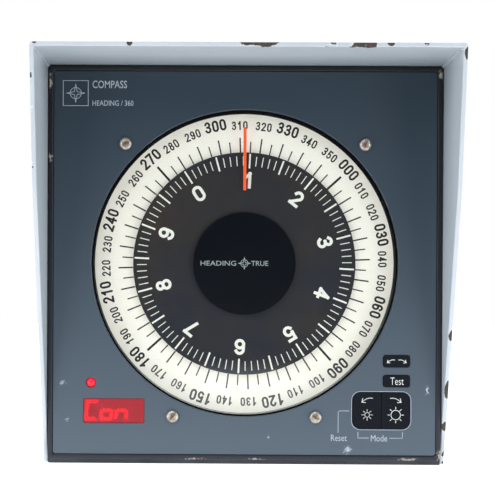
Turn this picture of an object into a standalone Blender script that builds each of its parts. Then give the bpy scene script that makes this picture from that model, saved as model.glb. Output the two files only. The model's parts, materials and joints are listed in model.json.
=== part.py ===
"""Bulkhead compass repeater: two dial cards, gear train, keypad and display in a hooded sheet housing.

Metres, +Z up, the instrument looks along -Y. The origin is at the middle of the bounding box's base.
Every piece is drawn in the instrument's own frame, which has its origin at the centre of the panel's
front face, +X to the right and +Y into the housing, and is hung on one empty that sets its place.
"""

import math

import bmesh
import bpy

# Housing: one sheet bent over the top and both sides, with cheeks that taper to nothing at the foot.
SHEET = 0.002
BODY = 0.197
BODY_DEPTH = 0.100
VISOR_DEPTH = 0.036
KNEE_DEPTH = 0.027
KNEE_HEIGHT = 0.033
CHEEK_FOOT = 0.004
REAR_FLANGE = 0.0105
TRAY_FRONT = 0.0025
TRAY_REAR = 0.0977
TRAY_LIP_AT = 0.092
TRAY_LIP = 0.012

# Panel instrument: a square frame, its gasket, and the panel plate that it carries.
FRAME = 0.192
FRAME_RADIUS = 0.003
PANEL = 0.187
PANEL_THICK = 0.003
LEDGE = 0.176
FRAME_DEPTH = 0.006
GAP = 0.0003

# Round window and the ring that clamps it, on the screws' circle.
APERTURE_R = 0.0745
WINDOW_R = 0.078
RIM_R = 0.0805
EAR_R = 0.005
SCREWS = [(-0.0584, 0.0580), (0.0584, 0.0580), (-0.0349, -0.0750), (0.0349, -0.0750)]
SCREW_HOLE_R = 0.0017

# Dial cards and the lines that stand still in front of them.
COARSE_R = 0.0770
FINE_R = 0.0553
DISC_R = 0.0253
LUBBER_INNER = 0.0363
LUBBER_OUTER = 0.0675
LUBBER_WIDTH = 0.0015

# Gear train: 72 to 12 and again 72 to 12 makes the fine card turn 36 times for one of the coarse.
MODULE = 0.0008
ADDENDUM = 0.8
DEDENDUM = 1.2
WHEEL_TEETH = 72
PINION_TEETH = 12
MOTOR_TEETH = 18
LAY_DISTANCE = MODULE * (WHEEL_TEETH + PINION_TEETH) / 2
MOTOR_DISTANCE = MODULE * (WHEEL_TEETH + MOTOR_TEETH) / 2
MOTOR_ANGLE = math.radians(-20)
LAY_AXIS = (0.0, -LAY_DISTANCE)
MOTOR_AXIS = (
    MOTOR_DISTANCE * math.cos(MOTOR_ANGLE),
    -LAY_DISTANCE + MOTOR_DISTANCE * math.sin(MOTOR_ANGLE),
)

# Display, lamp and keys: centre (x, z), then width and height.
DISPLAY = (-0.0637, -0.0724, 0.0298, 0.0119)
LED = (-0.0749, -0.0586)
LED_R = 0.0025
KEY_FIELD = (0.0670, -0.0716, 0.0281, 0.0179)
KEY_GAP = 0.0004
KEY_PROUD = 0.0005
KEY_RADIUS = 0.0012
FIELD_RADIUS = 0.0039
SMALL_KEY = (0.0129, 0.0061)
KEYS = {
    "key_rotate": (0.0743, -0.0474, *SMALL_KEY),
    "key_test": (0.0743, -0.0571, *SMALL_KEY),
    "key_dim": (KEY_FIELD[0] - KEY_FIELD[2] / 4, KEY_FIELD[1], KEY_FIELD[2] / 2 - KEY_GAP, KEY_FIELD[3]),
    "key_bright": (KEY_FIELD[0] + KEY_FIELD[2] / 4, KEY_FIELD[1], KEY_FIELD[2] / 2 - KEY_GAP, KEY_FIELD[3]),
}

# Rear cover, its glands and its earth stud.
COVER_SCREW = 0.091
GLANDS = [(-0.030, -0.060), (0.030, -0.060)]
EARTH = (0.070, -0.070)
GLAND_END = 0.124

# Plates that carry the train and the main board, all on the four tie posts.
PLATE_HALF_WIDTH = 0.066
PLATE_TOP = 0.066
PLATE_FOOT = -0.082

# Fits: a cutter's run past the faces it opens, and corner radii that several pieces share.
OVERCUT = 0.002
CORNER = 0.003
COVER_CORNER = 0.002
DOORWAY_CORNER = 0.004
SEAT_CORNER = 0.0015
WINDOW_CORNER = 0.0006
PANE_CORNER = 0.0004
PLATE_CORNER = 0.005

# Depths of the flat pieces behind the panel's face, near and far, from front to rear.
FRAME_PROUD = 0.0005
GASKET = (0.0063, 0.0078)
FLANGE = (0.0081, 0.0101)
SEAL = (0.0033, 0.0039)
GLASS = (0.0042, 0.0062)
EARS = (0.0033, 0.0083)
CLAMP = (0.0065, 0.0085)
TUBE_END = 0.0104
MARKS = (0.0065, 0.0069)
FINE_CARD = (0.0086, 0.0098)
COARSE_CARD = (0.0109, 0.0124)
DIFFUSER = (0.0160, 0.0190)
LAMP_BOARD = (0.0193, 0.0209)
FRONT_PLATE = (0.0220, 0.0240)
COARSE_WHEEL = (0.0260, 0.0285)
LAY_PINION = (0.0253, 0.0292)
LAY_WHEEL = (0.0340, 0.0365)
DRIVE_PINION = (0.0335, 0.0373)
REAR_PLATE = (0.0400, 0.0420)
MAIN_BOARD = (0.0700, 0.0716)
CONVERTER = (0.0719, 0.0900)
TERMINALS = (0.0719, 0.0840)
BEARING_PROUD = 0.0002

# Squares and rings in the plane of the panel.
GASKET_OUTER = 0.191
GASKET_INNER = 0.177
FLANGE_INNER = 0.174
FLANGE_EASE = 0.001
SEAL_BORE = 0.075
SEAT_EASE = 0.0005
TUBE_R = 0.077
LIGHT_BORE = 0.0215
LIGHT_R = 0.0765

# Screws, glands and the earth stud.
COVER_HOLE_R = 0.0022
COVER_SCREW_R = 0.0019
COVER_SCREW_START = 0.096
COVER_HEAD_R = 0.0040
COVER_CROWN_R = 0.0025
COVER_RIM = 0.0015
COVER_HEAD = 0.0025
PANEL_SCREW_R = 0.00125
PANEL_SCREW_END = 0.015
PANEL_HEAD_R = 0.0031
PANEL_CROWN_R = 0.0020
PANEL_RIM = 0.0012
PANEL_HEAD = 0.0019
GLAND_HOLE_R = 0.0083
GLAND_BORE = 0.0045
GLAND_THREAD_R = 0.008
GLAND_CUT = 0.090
GLAND_START = 0.094
GLAND_DOME_R = 0.0105
GLAND_TIP_R = 0.0085
GLAND_SHOULDER = 0.118
GLAND_HEXAGON_R = 0.0125
NUT = 0.005
EARTH_HOLE_R = 0.0033
EARTH_R = 0.003
EARTH_NUT_R = 0.0058
EARTH_END = 0.114

# Shafts, their bearings and what sits on them.
JOURNAL_R = 0.0015
JOURNAL_END = 0.0424
SHOULDER = 0.0393
BEARING_BORE = 0.0016
BEARING_R = 0.0037
BEARING_SEAT_R = 0.0040
SLEEVE_BORE = 0.0031
SLEEVE_R = 0.0070
SLEEVE_FLANGE_R = 0.020
SLEEVE = (0.0127, 0.0147, 0.0300)
SLEEVE_BEARING_BORE = 0.0071
SLEEVE_BEARING_R = 0.0110
SLEEVE_SEAT_R = 0.0113
WHEEL_BORE = 0.0073
SPINDLE_R = 0.0030
SPINDLE_FLANGE_R = 0.010
SPINDLE_FLANGE = (0.0101, 0.0106)
SPINDLE_END = 0.0380
CARD_BORE = 0.0033
LAY_R = 0.0020
LAY_START = 0.0213
LAY_SHOULDER = 0.0246
LAY_WHEEL_BORE = 0.0023

# The stepper motor hangs on the rear plate by its spigot.
MOTOR_SHAFT = (0.0330, 0.0550)
MOTOR_BORE_R = 0.0017
MOTOR_BORE_END = 0.056
SPIGOT_R = 0.005
SPIGOT_START = 0.0395
SPIGOT_SEAT_R = 0.0055
MOTOR_R = 0.014
MOTOR = (0.0423, 0.0620)

# Tie posts step down towards the rear, so that each plate drops over them to its own shoulder.
POST_BORE = 0.0016
POST_BORE_END = 0.016
POST = ((0.0048, 0.0088, 0.0217), (0.0040, 0.0217, 0.0397), (0.0030, 0.0397, 0.0697))
POST_EASE = 0.0003

# Boards and boxes: width and height, then the centre.
CONVERTER_BOX = (0.050, 0.040, COVER_CORNER, (0.0, 0.020))
TERMINAL_BOX = (0.060, 0.012, 0.0, (0.0, -0.070))
LEFT_BOARD = (0.041, 0.035, 0.0, (-0.0645, -0.0675))
RIGHT_BOARD = (0.039, 0.045, 0.0, (0.0655, -0.0625))
SMALL_BOARDS = (0.0067, 0.0079)
BOARD_CLEARANCE_R = RIM_R + 0.001

# Display, lamp and keypad in depth.
PANE = (0.0002, 0.0017)
DISPLAY_MODULE = (0.0022, 0.0062)
MODULE_EASE = (0.0014, 0.0010)
LENS_END = 0.0059
LENS_DOME = ((0.0, -0.0010), (0.0013, -0.0008), (0.0022, -0.0001), (LED_R, 0.0008))
LENS = (*LENS_DOME, (LED_R, LENS_END), (0.0, LENS_END))
SKIRT = (0.0033, 0.0040)
SKIRT_REACH = 0.0012
SWITCH = (0.0050, 0.0064)
SWITCH_SIZE = 0.005

PLACE = (0.0, VISOR_DEPTH - (VISOR_DEPTH + GLAND_END) / 2, BODY / 2)

FINE_STEPS = 48
ROUND_STEPS = 24
SMALL_STEPS = 12


def clear_scene():
    for item in list(bpy.data.objects):
        bpy.data.objects.remove(item, do_unlink=True)


def make_material(name, colour, roughness, metallic=0.0, alpha=1.0):
    material = bpy.data.materials.new(name)
    material.use_nodes = True
    shader = material.node_tree.nodes["Principled BSDF"]
    shader.inputs["Base Color"].default_value = (*colour, 1.0)
    shader.inputs["Roughness"].default_value = roughness
    shader.inputs["Metallic"].default_value = metallic
    shader.inputs["Alpha"].default_value = alpha
    return material


def make_materials():
    """Linear base colour, roughness, metallic and, for the clear ones, alpha."""
    finishes = {
        "housing_paint": ((0.60, 0.66, 0.72), 0.35),
        "tray_paint": ((0.03, 0.035, 0.045), 0.5),
        "frame_black": ((0.012, 0.014, 0.02), 0.4),
        "panel_slate": ((0.06, 0.085, 0.11), 0.4),
        "gasket_rubber": ((0.01, 0.01, 0.01), 0.8),
        "window_glass": ((0.9, 0.95, 1.0), 0.03, 0.0, 0.25),
        "card_white": ((0.85, 0.86, 0.84), 0.5),
        "card_black": ((0.02, 0.022, 0.028), 0.5),
        "disc_navy": ((0.004, 0.008, 0.016), 0.35),
        "lubber_orange": ((0.8, 0.1, 0.03), 0.4),
        "display_red": ((0.5, 0.03, 0.04), 0.1, 0.0, 0.6),
        "led_red": ((1.0, 0.02, 0.05), 0.2),
        "module_black": ((0.01, 0.01, 0.012), 0.6),
        "board_green": ((0.02, 0.12, 0.05), 0.5),
        "key_rubber": ((0.018, 0.022, 0.03), 0.6),
        "screw_nickel": ((0.6, 0.58, 0.52), 0.35, 1.0),
        "plate_aluminium": ((0.7, 0.71, 0.72), 0.35, 1.0),
        "shaft_steel": ((0.5, 0.5, 0.5), 0.3, 1.0),
        "wheel_brass": ((0.6, 0.42, 0.16), 0.3, 1.0),
        "diffuser_white": ((0.9, 0.9, 0.88), 0.6),
        "gland_nylon": ((0.02, 0.02, 0.022), 0.6),
    }
    return {name: make_material(name, *values) for name, values in finishes.items()}


def rounded(width, height, radius=0.0, centre=(0.0, 0.0), left=None, steps=4):
    """Corners of a rectangle in x and z, counter-clockwise; left is its left corners' own radius."""
    points = []
    for turn, (side, up) in enumerate([(1, 1), (-1, 1), (-1, -1), (1, -1)]):
        bend = left if left is not None and side < 0 else radius
        cx = centre[0] + side * (width / 2 - bend)
        cz = centre[1] + up * (height / 2 - bend)
        if bend == 0.0:
            points.append((cx, cz))
            continue
        for step in range(steps + 1):
            angle = math.pi / 2 * (turn + step / steps)
            points.append((cx + bend * math.cos(angle), cz + bend * math.sin(angle)))
    return points


def circle(radius, centre=(0.0, 0.0), steps=SMALL_STEPS):
    angles = [2 * math.pi * step / steps for step in range(steps)]
    return [(centre[0] + radius * math.cos(a), centre[1] + radius * math.sin(a)) for a in angles]


def spur(teeth, first_tooth, steps_root=0.30, steps_tip=0.16):
    """Outline of a spur gear with straight-flanked teeth that leave easy backlash."""
    pitch = MODULE * teeth / 2
    root = pitch - DEDENDUM * MODULE
    tip = pitch + ADDENDUM * MODULE
    step = 2 * math.pi / teeth
    points = []
    for tooth in range(teeth):
        angle = first_tooth + tooth * step
        for radius, offset in ((root, -steps_root), (tip, -steps_tip), (tip, steps_tip), (root, steps_root)):
            turn = angle + offset * step
            points.append((radius * math.cos(turn), radius * math.sin(turn)))
    return points


def add_prism(mesh, outline, near, far):
    """A closed prism from an outline in x and z, between two depths."""
    verts = [mesh.verts.new((x, near, z)) for x, z in outline]
    face = mesh.faces.new(verts)
    pushed = bmesh.ops.extrude_face_region(mesh, geom=[face])["geom"]
    moved = [item for item in pushed if isinstance(item, bmesh.types.BMVert)]
    bmesh.ops.translate(mesh, verts=moved, vec=(0.0, far - near, 0.0))


def add_turned(mesh, profile, steps):
    """A closed body turned about Y from (radius, depth) points; it is a ring if none is on the axis."""
    verts = [mesh.verts.new((radius, depth, 0.0)) for radius, depth in profile]
    edges = [mesh.edges.new(pair) for pair in zip(verts, verts[1:])]
    if profile[0][0] > 0.0:
        edges.append(mesh.edges.new((verts[-1], verts[0])))
    bmesh.ops.spin(
        mesh, geom=verts + edges, cent=(0, 0, 0), axis=(0, 1, 0), angle=2 * math.pi, steps=steps
    )
    bmesh.ops.remove_doubles(mesh, verts=mesh.verts, dist=1e-6)


def finish_mesh(mesh, name):
    bmesh.ops.recalc_face_normals(mesh, faces=mesh.faces)
    data = bpy.data.meshes.new(name)
    mesh.to_mesh(data)
    mesh.free()
    return data


class Bench:
    """Makes the named pieces and hangs each on the instrument's empty."""

    def __init__(self):
        self.materials = make_materials()
        self.frame = bpy.data.objects.new("instrument_frame", None)
        self.frame.location = PLACE
        bpy.context.collection.objects.link(self.frame)

    def add(self, name, data, material, at=(0.0, 0.0)):
        piece = bpy.data.objects.new(name, data)
        piece.location = (at[0], 0.0, at[1])
        piece.parent = self.frame
        if material:
            data.materials.append(self.materials[material])
        bpy.context.collection.objects.link(piece)
        return piece

    def prism(self, name, material, outline, near, far, at=(0.0, 0.0)):
        mesh = bmesh.new()
        add_prism(mesh, outline, near, far)
        return self.add(name, finish_mesh(mesh, name), material, at)

    def turned(self, name, material, profile, steps=ROUND_STEPS, at=(0.0, 0.0)):
        mesh = bmesh.new()
        add_turned(mesh, profile, steps)
        data = finish_mesh(mesh, name)
        data.shade_smooth()
        data.set_sharp_from_angle(angle=math.radians(30))
        return self.add(name, data, material, at)

    def across(self, name, material, outline, width):
        """A prism along X, from an outline in y and z."""
        mesh = bmesh.new()
        verts = [mesh.verts.new((-width / 2, y, z)) for y, z in outline]
        face = mesh.faces.new(verts)
        pushed = bmesh.ops.extrude_face_region(mesh, geom=[face])["geom"]
        moved = [item for item in pushed if isinstance(item, bmesh.types.BMVert)]
        bmesh.ops.translate(mesh, verts=moved, vec=(width, 0.0, 0.0))
        return self.add(name, finish_mesh(mesh, name), material)

    def combine(self, piece, operation, guide):
        guide.hide_render = True
        guide.display_type = "WIRE"
        step = piece.modifiers.new(guide.name, "BOOLEAN")
        step.operation = operation
        step.object = guide

    def cut(self, piece, outlines, near, far):
        """Cuts straight holes of the given outlines through a piece, between two depths."""
        mesh = bmesh.new()
        for outline in outlines:
            add_prism(mesh, outline, near, far)
        name = f"{piece.name}_cutter_{len(piece.modifiers)}"
        at = (piece.location.x, piece.location.z)
        self.combine(piece, "DIFFERENCE", self.add(name, finish_mesh(mesh, name), None, at))

    def pierce(self, piece, outlines, near, far):
        """Cuts holes right through a plate that lies between two depths."""
        self.cut(piece, outlines, near - OVERCUT, far + OVERCUT)

    def weld(self, piece, outlines, near, far):
        """Joins straight bosses of the given outlines to a piece."""
        for index, outline in enumerate(outlines):
            mesh = bmesh.new()
            add_prism(mesh, outline, near, far)
            name = f"{piece.name}_boss_{index}"
            at = (piece.location.x, piece.location.z)
            self.combine(piece, "UNION", self.add(name, finish_mesh(mesh, name), None, at))


def make_housing(bench):
    half = BODY / 2
    side = [
        (-VISOR_DEPTH, half),
        (-KNEE_DEPTH, KNEE_HEIGHT),
        (CHEEK_FOOT, -half),
        (BODY_DEPTH, -half),
        (BODY_DEPTH, half),
    ]
    shell = bench.across("housing_shell", "housing_paint", side, BODY)
    inner = BODY - 2 * SHEET
    room = rounded(inner, BODY, centre=(0.0, -SHEET))
    bench.cut(shell, [room], -2 * VISOR_DEPTH, BODY_DEPTH - SHEET)
    doorway = rounded(inner - 2 * REAR_FLANGE, inner - 2 * REAR_FLANGE, DOORWAY_CORNER)
    holes = [circle(COVER_HOLE_R, place) for place in corners(COVER_SCREW)]
    bench.pierce(shell, [doorway, *holes], BODY_DEPTH - SHEET, BODY_DEPTH)

    low = -half
    tray = [
        (TRAY_FRONT, low),
        (TRAY_REAR, low),
        (TRAY_REAR, low + SHEET),
        (TRAY_LIP_AT + SHEET, low + SHEET),
        (TRAY_LIP_AT + SHEET, low + TRAY_LIP),
        (TRAY_LIP_AT, low + TRAY_LIP),
        (TRAY_LIP_AT, low + SHEET),
        (TRAY_FRONT, low + SHEET),
    ]
    bench.across("base_tray", "tray_paint", tray, inner - 2 * GAP)

    square = rounded(inner - FLANGE_EASE, inner - FLANGE_EASE)
    flange = bench.prism("mounting_flange", "plate_aluminium", square, *FLANGE)
    bench.pierce(flange, [rounded(FLANGE_INNER, FLANGE_INNER, CORNER)], *FLANGE)


def corners(offset):
    return [(-offset, offset), (offset, offset), (-offset, -offset), (offset, -offset)]


def make_rear(bench):
    near = BODY_DEPTH + GAP
    far = near + SHEET
    outline = rounded(BODY, BODY - 2 * GAP, COVER_CORNER)
    cover = bench.prism("rear_cover", "housing_paint", outline, near, far)
    holes = [circle(COVER_HOLE_R, place) for place in corners(COVER_SCREW)]
    holes += [circle(GLAND_HOLE_R, place, ROUND_STEPS) for place in GLANDS]
    holes.append(circle(EARTH_HOLE_R, EARTH))
    bench.pierce(cover, holes, near, far)

    seat = far + GAP
    screw = [(0.0, COVER_SCREW_START), (COVER_SCREW_R, COVER_SCREW_START), (COVER_SCREW_R, seat)]
    screw += [(COVER_HEAD_R, seat), (COVER_HEAD_R, seat + COVER_RIM), (COVER_CROWN_R, seat + COVER_HEAD)]
    screw.append((0.0, seat + COVER_HEAD))
    for index, place in enumerate(corners(COVER_SCREW), 1):
        bench.turned(f"rear_cover_screw_{index}", "screw_nickel", screw, SMALL_STEPS, place)

    gland = [(GLAND_BORE, GLAND_START), (GLAND_THREAD_R, GLAND_START), (GLAND_THREAD_R, seat)]
    gland += [(GLAND_DOME_R, seat + NUT), (GLAND_DOME_R, GLAND_SHOULDER), (GLAND_TIP_R, GLAND_END)]
    gland.append((GLAND_BORE, GLAND_END))
    for index, place in enumerate(GLANDS, 1):
        piece = bench.turned(f"cable_gland_{index}", "gland_nylon", gland, ROUND_STEPS, place)
        bench.weld(piece, [circle(GLAND_HEXAGON_R, steps=6)], seat, seat + NUT)
        bench.cut(piece, [circle(GLAND_BORE, steps=ROUND_STEPS)], GLAND_CUT, GLAND_END + OVERCUT)

    stud = [(0.0, COVER_SCREW_START), (EARTH_R, COVER_SCREW_START), (EARTH_R, EARTH_END), (0.0, EARTH_END)]
    piece = bench.turned("earth_stud", "wheel_brass", stud, SMALL_STEPS, EARTH)
    bench.weld(piece, [circle(EARTH_NUT_R, steps=6)], seat, seat + NUT)


def make_front(bench):
    outline = rounded(FRAME, FRAME, FRAME_RADIUS)
    frame = bench.prism("front_frame", "frame_black", outline, -FRAME_PROUD, FRAME_DEPTH)
    seat = PANEL + 2 * GAP
    bench.cut(frame, [rounded(seat, seat, SEAT_CORNER)], -OVERCUT, PANEL_THICK + GAP)
    bench.cut(frame, [rounded(LEDGE, LEDGE, CORNER)], 0.0, FRAME_DEPTH + OVERCUT)

    outline = rounded(GASKET_OUTER, GASKET_OUTER, CORNER)
    gasket = bench.prism("frame_gasket", "gasket_rubber", outline, *GASKET)
    bench.pierce(gasket, [rounded(GASKET_INNER, GASKET_INNER, CORNER)], *GASKET)

    panel = bench.prism("front_panel", "panel_slate", rounded(PANEL, PANEL, KEY_RADIUS), 0.0, PANEL_THICK)
    holes = [
        circle(APERTURE_R, steps=FINE_STEPS),
        rounded(DISPLAY[2] + 2 * GAP, DISPLAY[3] + 2 * GAP, WINDOW_CORNER, DISPLAY[:2]),
        rounded(KEY_FIELD[2] + 2 * GAP, KEY_FIELD[3] + 2 * GAP, FIELD_RADIUS + GAP, KEY_FIELD[:2]),
        circle(LED_R + GAP, LED),
    ]
    for name in ("key_rotate", "key_test"):
        x, z, width, height = KEYS[name]
        holes.append(rounded(width + 2 * GAP, height + 2 * GAP, SEAT_CORNER, (x, z)))
    holes += [circle(SCREW_HOLE_R, place) for place in SCREWS]
    bench.pierce(panel, holes, 0.0, PANEL_THICK)

    screw = [(0.0, -PANEL_HEAD), (PANEL_CROWN_R, -PANEL_HEAD), (PANEL_HEAD_R, -PANEL_RIM)]
    screw += [(PANEL_HEAD_R, -GAP), (PANEL_SCREW_R, -GAP), (PANEL_SCREW_R, PANEL_SCREW_END)]
    screw.append((0.0, PANEL_SCREW_END))
    for index, place in enumerate(SCREWS, 1):
        bench.turned(f"panel_screw_{index}", "screw_nickel", screw, SMALL_STEPS, place)


def ring(inner, outer, near, far):
    return [(inner, near), (outer, near), (outer, far), (inner, far)]


def disc(radius, near, far):
    return ring(0.0, radius, near, far)


def make_window(bench):
    bench.turned("window_seal", "gasket_rubber", ring(SEAL_BORE, WINDOW_R, *SEAL), FINE_STEPS)
    bench.turned("dial_window", "window_glass", disc(WINDOW_R, *GLASS), FINE_STEPS)

    near, far = CLAMP
    clamp = [(APERTURE_R, near), (RIM_R, near), (RIM_R, far), (TUBE_R, far)]
    clamp += [(TUBE_R, TUBE_END), (APERTURE_R, TUBE_END)]
    holder = bench.turned("aperture_ring", "frame_black", clamp, FINE_STEPS)
    bench.weld(holder, [circle(EAR_R, place) for place in SCREWS], *EARS)
    bench.cut(holder, [circle(WINDOW_R + SEAT_EASE, steps=FINE_STEPS)], EARS[0] - OVERCUT, near)
    bench.pierce(holder, [circle(APERTURE_R, steps=FINE_STEPS)], near, TUBE_END)
    bench.pierce(holder, [circle(SCREW_HOLE_R, place) for place in SCREWS], EARS[0], TUBE_END)

    bench.turned("centre_disc", "disc_navy", disc(DISC_R, *MARKS))
    length = LUBBER_OUTER - LUBBER_INNER
    middle = (0.0, (LUBBER_OUTER + LUBBER_INNER) / 2)
    bench.prism("lubber_line", "lubber_orange", rounded(LUBBER_WIDTH, length, centre=middle), *MARKS)


def make_dials(bench):
    bench.turned("coarse_dial", "card_white", ring(SLEEVE_SEAT_R, COARSE_R, *COARSE_CARD), FINE_STEPS)
    near, step, far = SLEEVE
    sleeve = [(SLEEVE_BORE, near), (SLEEVE_FLANGE_R, near), (SLEEVE_FLANGE_R, step)]
    sleeve += [(SLEEVE_R, step), (SLEEVE_R, far), (SLEEVE_BORE, far)]
    bench.turned("coarse_sleeve", "shaft_steel", sleeve)
    wheel = bench.prism("coarse_wheel", "wheel_brass", spur(WHEEL_TEETH, -math.pi / 2), *COARSE_WHEEL)
    bench.pierce(wheel, [circle(WHEEL_BORE, steps=ROUND_STEPS)], *COARSE_WHEEL)

    bench.turned("fine_dial", "card_black", ring(CARD_BORE, FINE_R, *FINE_CARD), FINE_STEPS)
    near, far = SPINDLE_FLANGE
    spindle = [(0.0, FINE_CARD[0]), (SPINDLE_R, FINE_CARD[0]), (SPINDLE_R, near), (SPINDLE_FLANGE_R, near)]
    spindle += [(SPINDLE_FLANGE_R, far), (SPINDLE_R, far), (SPINDLE_R, SPINDLE_END), (JOURNAL_R, SPINDLE_END)]
    spindle += [(JOURNAL_R, JOURNAL_END), (0.0, JOURNAL_END)]
    piece = bench.turned("fine_spindle", "shaft_steel", spindle, ROUND_STEPS)
    tooth = -math.pi / 2 + math.pi / PINION_TEETH
    bench.weld(piece, [spur(PINION_TEETH, tooth)], *DRIVE_PINION)


def make_layshaft(bench):
    shaft = [(0.0, LAY_START), (JOURNAL_R, LAY_START), (JOURNAL_R, LAY_SHOULDER), (LAY_R, LAY_SHOULDER)]
    shaft += [(LAY_R, SHOULDER), (JOURNAL_R, SHOULDER), (JOURNAL_R, JOURNAL_END), (0.0, JOURNAL_END)]
    piece = bench.turned("lay_shaft", "shaft_steel", shaft, SMALL_STEPS, LAY_AXIS)
    tooth = math.pi / 2 + math.pi / PINION_TEETH
    bench.weld(piece, [spur(PINION_TEETH, tooth)], *LAY_PINION)
    wheel = bench.prism("lay_wheel", "wheel_brass", spur(WHEEL_TEETH, math.pi / 2), *LAY_WHEEL, LAY_AXIS)
    bench.pierce(wheel, [circle(LAY_WHEEL_BORE)], *LAY_WHEEL)


def make_motor(bench):
    bench.turned("stepper_motor", "module_black", motor_profile(), ROUND_STEPS, MOTOR_AXIS)
    shaft = disc(JOURNAL_R, *MOTOR_SHAFT)
    piece = bench.turned("motor_pinion", "shaft_steel", shaft, SMALL_STEPS, MOTOR_AXIS)
    tooth = MOTOR_ANGLE + math.pi + math.pi / MOTOR_TEETH
    bench.weld(piece, [spur(MOTOR_TEETH, tooth)], *DRIVE_PINION)


def motor_profile():
    """From the bottom of the shaft's blind bore, out round the case and back to the axis."""
    near, far = MOTOR
    return [
        (0.0, MOTOR_BORE_END),
        (MOTOR_BORE_R, MOTOR_BORE_END),
        (MOTOR_BORE_R, SPIGOT_START),
        (SPIGOT_R, SPIGOT_START),
        (SPIGOT_R, near),
        (MOTOR_R, near),
        (MOTOR_R, far),
        (0.0, far),
    ]


def plate_outline():
    width = 2 * PLATE_HALF_WIDTH
    height = PLATE_TOP - PLATE_FOOT
    return rounded(width, height, PLATE_CORNER, (0.0, (PLATE_TOP + PLATE_FOOT) / 2))


def bearing(inner, outer, plate):
    """A bush that stands a little proud of its plate on both faces."""
    return ring(inner, outer, plate[0] - BEARING_PROUD, plate[1] + BEARING_PROUD)


def make_plates(bench):
    post = [(0.0, POST_BORE_END), (POST_BORE, POST_BORE_END), (POST_BORE, POST[0][1])]
    for radius, near, far in POST:
        post += [(radius, near), (radius, far)]
    post.append((0.0, POST[-1][2]))
    for index, place in enumerate(SCREWS, 1):
        bench.turned(f"tie_post_{index}", "plate_aluminium", post, SMALL_STEPS, place)

    bench.turned("light_diffuser", "diffuser_white", ring(LIGHT_BORE, LIGHT_R, *DIFFUSER), FINE_STEPS)
    bench.turned("lamp_board", "board_green", ring(LIGHT_BORE, LIGHT_R, *LAMP_BOARD), FINE_STEPS)

    front = bench.prism("gear_plate_front", "plate_aluminium", plate_outline(), *FRONT_PLATE)
    holes = [circle(POST[1][0] + POST_EASE, place) for place in SCREWS]
    holes += [circle(SLEEVE_SEAT_R, steps=ROUND_STEPS), circle(BEARING_SEAT_R, LAY_AXIS)]
    bench.pierce(front, holes, *FRONT_PLATE)
    rear = bench.prism("gear_plate_rear", "plate_aluminium", plate_outline(), *REAR_PLATE)
    holes = [circle(POST[2][0] + POST_EASE, place) for place in SCREWS]
    holes += [circle(BEARING_SEAT_R), circle(BEARING_SEAT_R, LAY_AXIS), circle(SPIGOT_SEAT_R, MOTOR_AXIS)]
    bench.pierce(rear, holes, *REAR_PLATE)

    bench.turned("sleeve_bearing", "wheel_brass", bearing(SLEEVE_BEARING_BORE, SLEEVE_BEARING_R, FRONT_PLATE))
    front_bush = bearing(BEARING_BORE, BEARING_R, FRONT_PLATE)
    rear_bush = bearing(BEARING_BORE, BEARING_R, REAR_PLATE)
    bench.turned("spindle_bearing", "wheel_brass", rear_bush, SMALL_STEPS)
    bench.turned("lay_bearing_front", "wheel_brass", front_bush, SMALL_STEPS, LAY_AXIS)
    bench.turned("lay_bearing_rear", "wheel_brass", rear_bush, SMALL_STEPS, LAY_AXIS)

    bench.prism("main_board", "board_green", plate_outline(), *MAIN_BOARD)
    bench.prism("power_converter", "module_black", rounded(*CONVERTER_BOX), *CONVERTER)
    bench.prism("terminal_block", "board_green", rounded(*TERMINAL_BOX), *TERMINALS)


def make_indicators(bench):
    x, z, width, height = DISPLAY
    bench.prism("display_window", "display_red", rounded(width, height, PANE_CORNER, (x, z)), *PANE)
    module = rounded(width - MODULE_EASE[0], height - MODULE_EASE[1], centre=(x, z))
    bench.prism("display_module", "module_black", module, *DISPLAY_MODULE)
    bench.turned("alarm_led", "led_red", LENS, SMALL_STEPS, LED)
    clearance = circle(BOARD_CLEARANCE_R, steps=FINE_STEPS)
    for name, box in (("indicator_board", LEFT_BOARD), ("key_board", RIGHT_BOARD)):
        board = bench.prism(name, "board_green", rounded(*box), *SMALL_BOARDS)
        bench.pierce(board, [clearance], *SMALL_BOARDS)


def make_keys(bench):
    for index, (name, (x, z, width, height)) in enumerate(KEYS.items(), 1):
        left = FIELD_RADIUS if name == "key_dim" else KEY_RADIUS
        right = FIELD_RADIUS if name == "key_bright" else KEY_RADIUS
        outline = rounded(width, height, right, left=left)
        key = bench.prism(name, "key_rubber", outline, -KEY_PROUD, SKIRT[1], (x, z))
        bench.weld(key, [rounded(width - 2 * FIELD_RADIUS, height + SKIRT_REACH)], *SKIRT)
        switch = rounded(SWITCH_SIZE, SWITCH_SIZE, centre=(x, z))
        bench.prism(f"key_switch_{index}", "module_black", switch, *SWITCH)


def main():
    clear_scene()
    bench = Bench()
    make_housing(bench)
    make_rear(bench)
    make_front(bench)
    make_window(bench)
    make_dials(bench)
    make_layshaft(bench)
    make_motor(bench)
    make_plates(bench)
    make_indicators(bench)
    make_keys(bench)


main()
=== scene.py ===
"""The looks of a bulkhead compass repeater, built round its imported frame.

Sizes are millimetres in the instrument's own frame: its origin is the middle of the panel's face, x runs
to the right, y into the housing and z up. Sketch.place turns them to metres in the row's frame.
"""

from __future__ import annotations

import functools
import json
import logging
import math
import random
from dataclasses import dataclass
from enum import Enum
from typing import Callable, Iterable, Sequence

import bmesh
import bpy
from mathutils import Matrix, Vector


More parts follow.
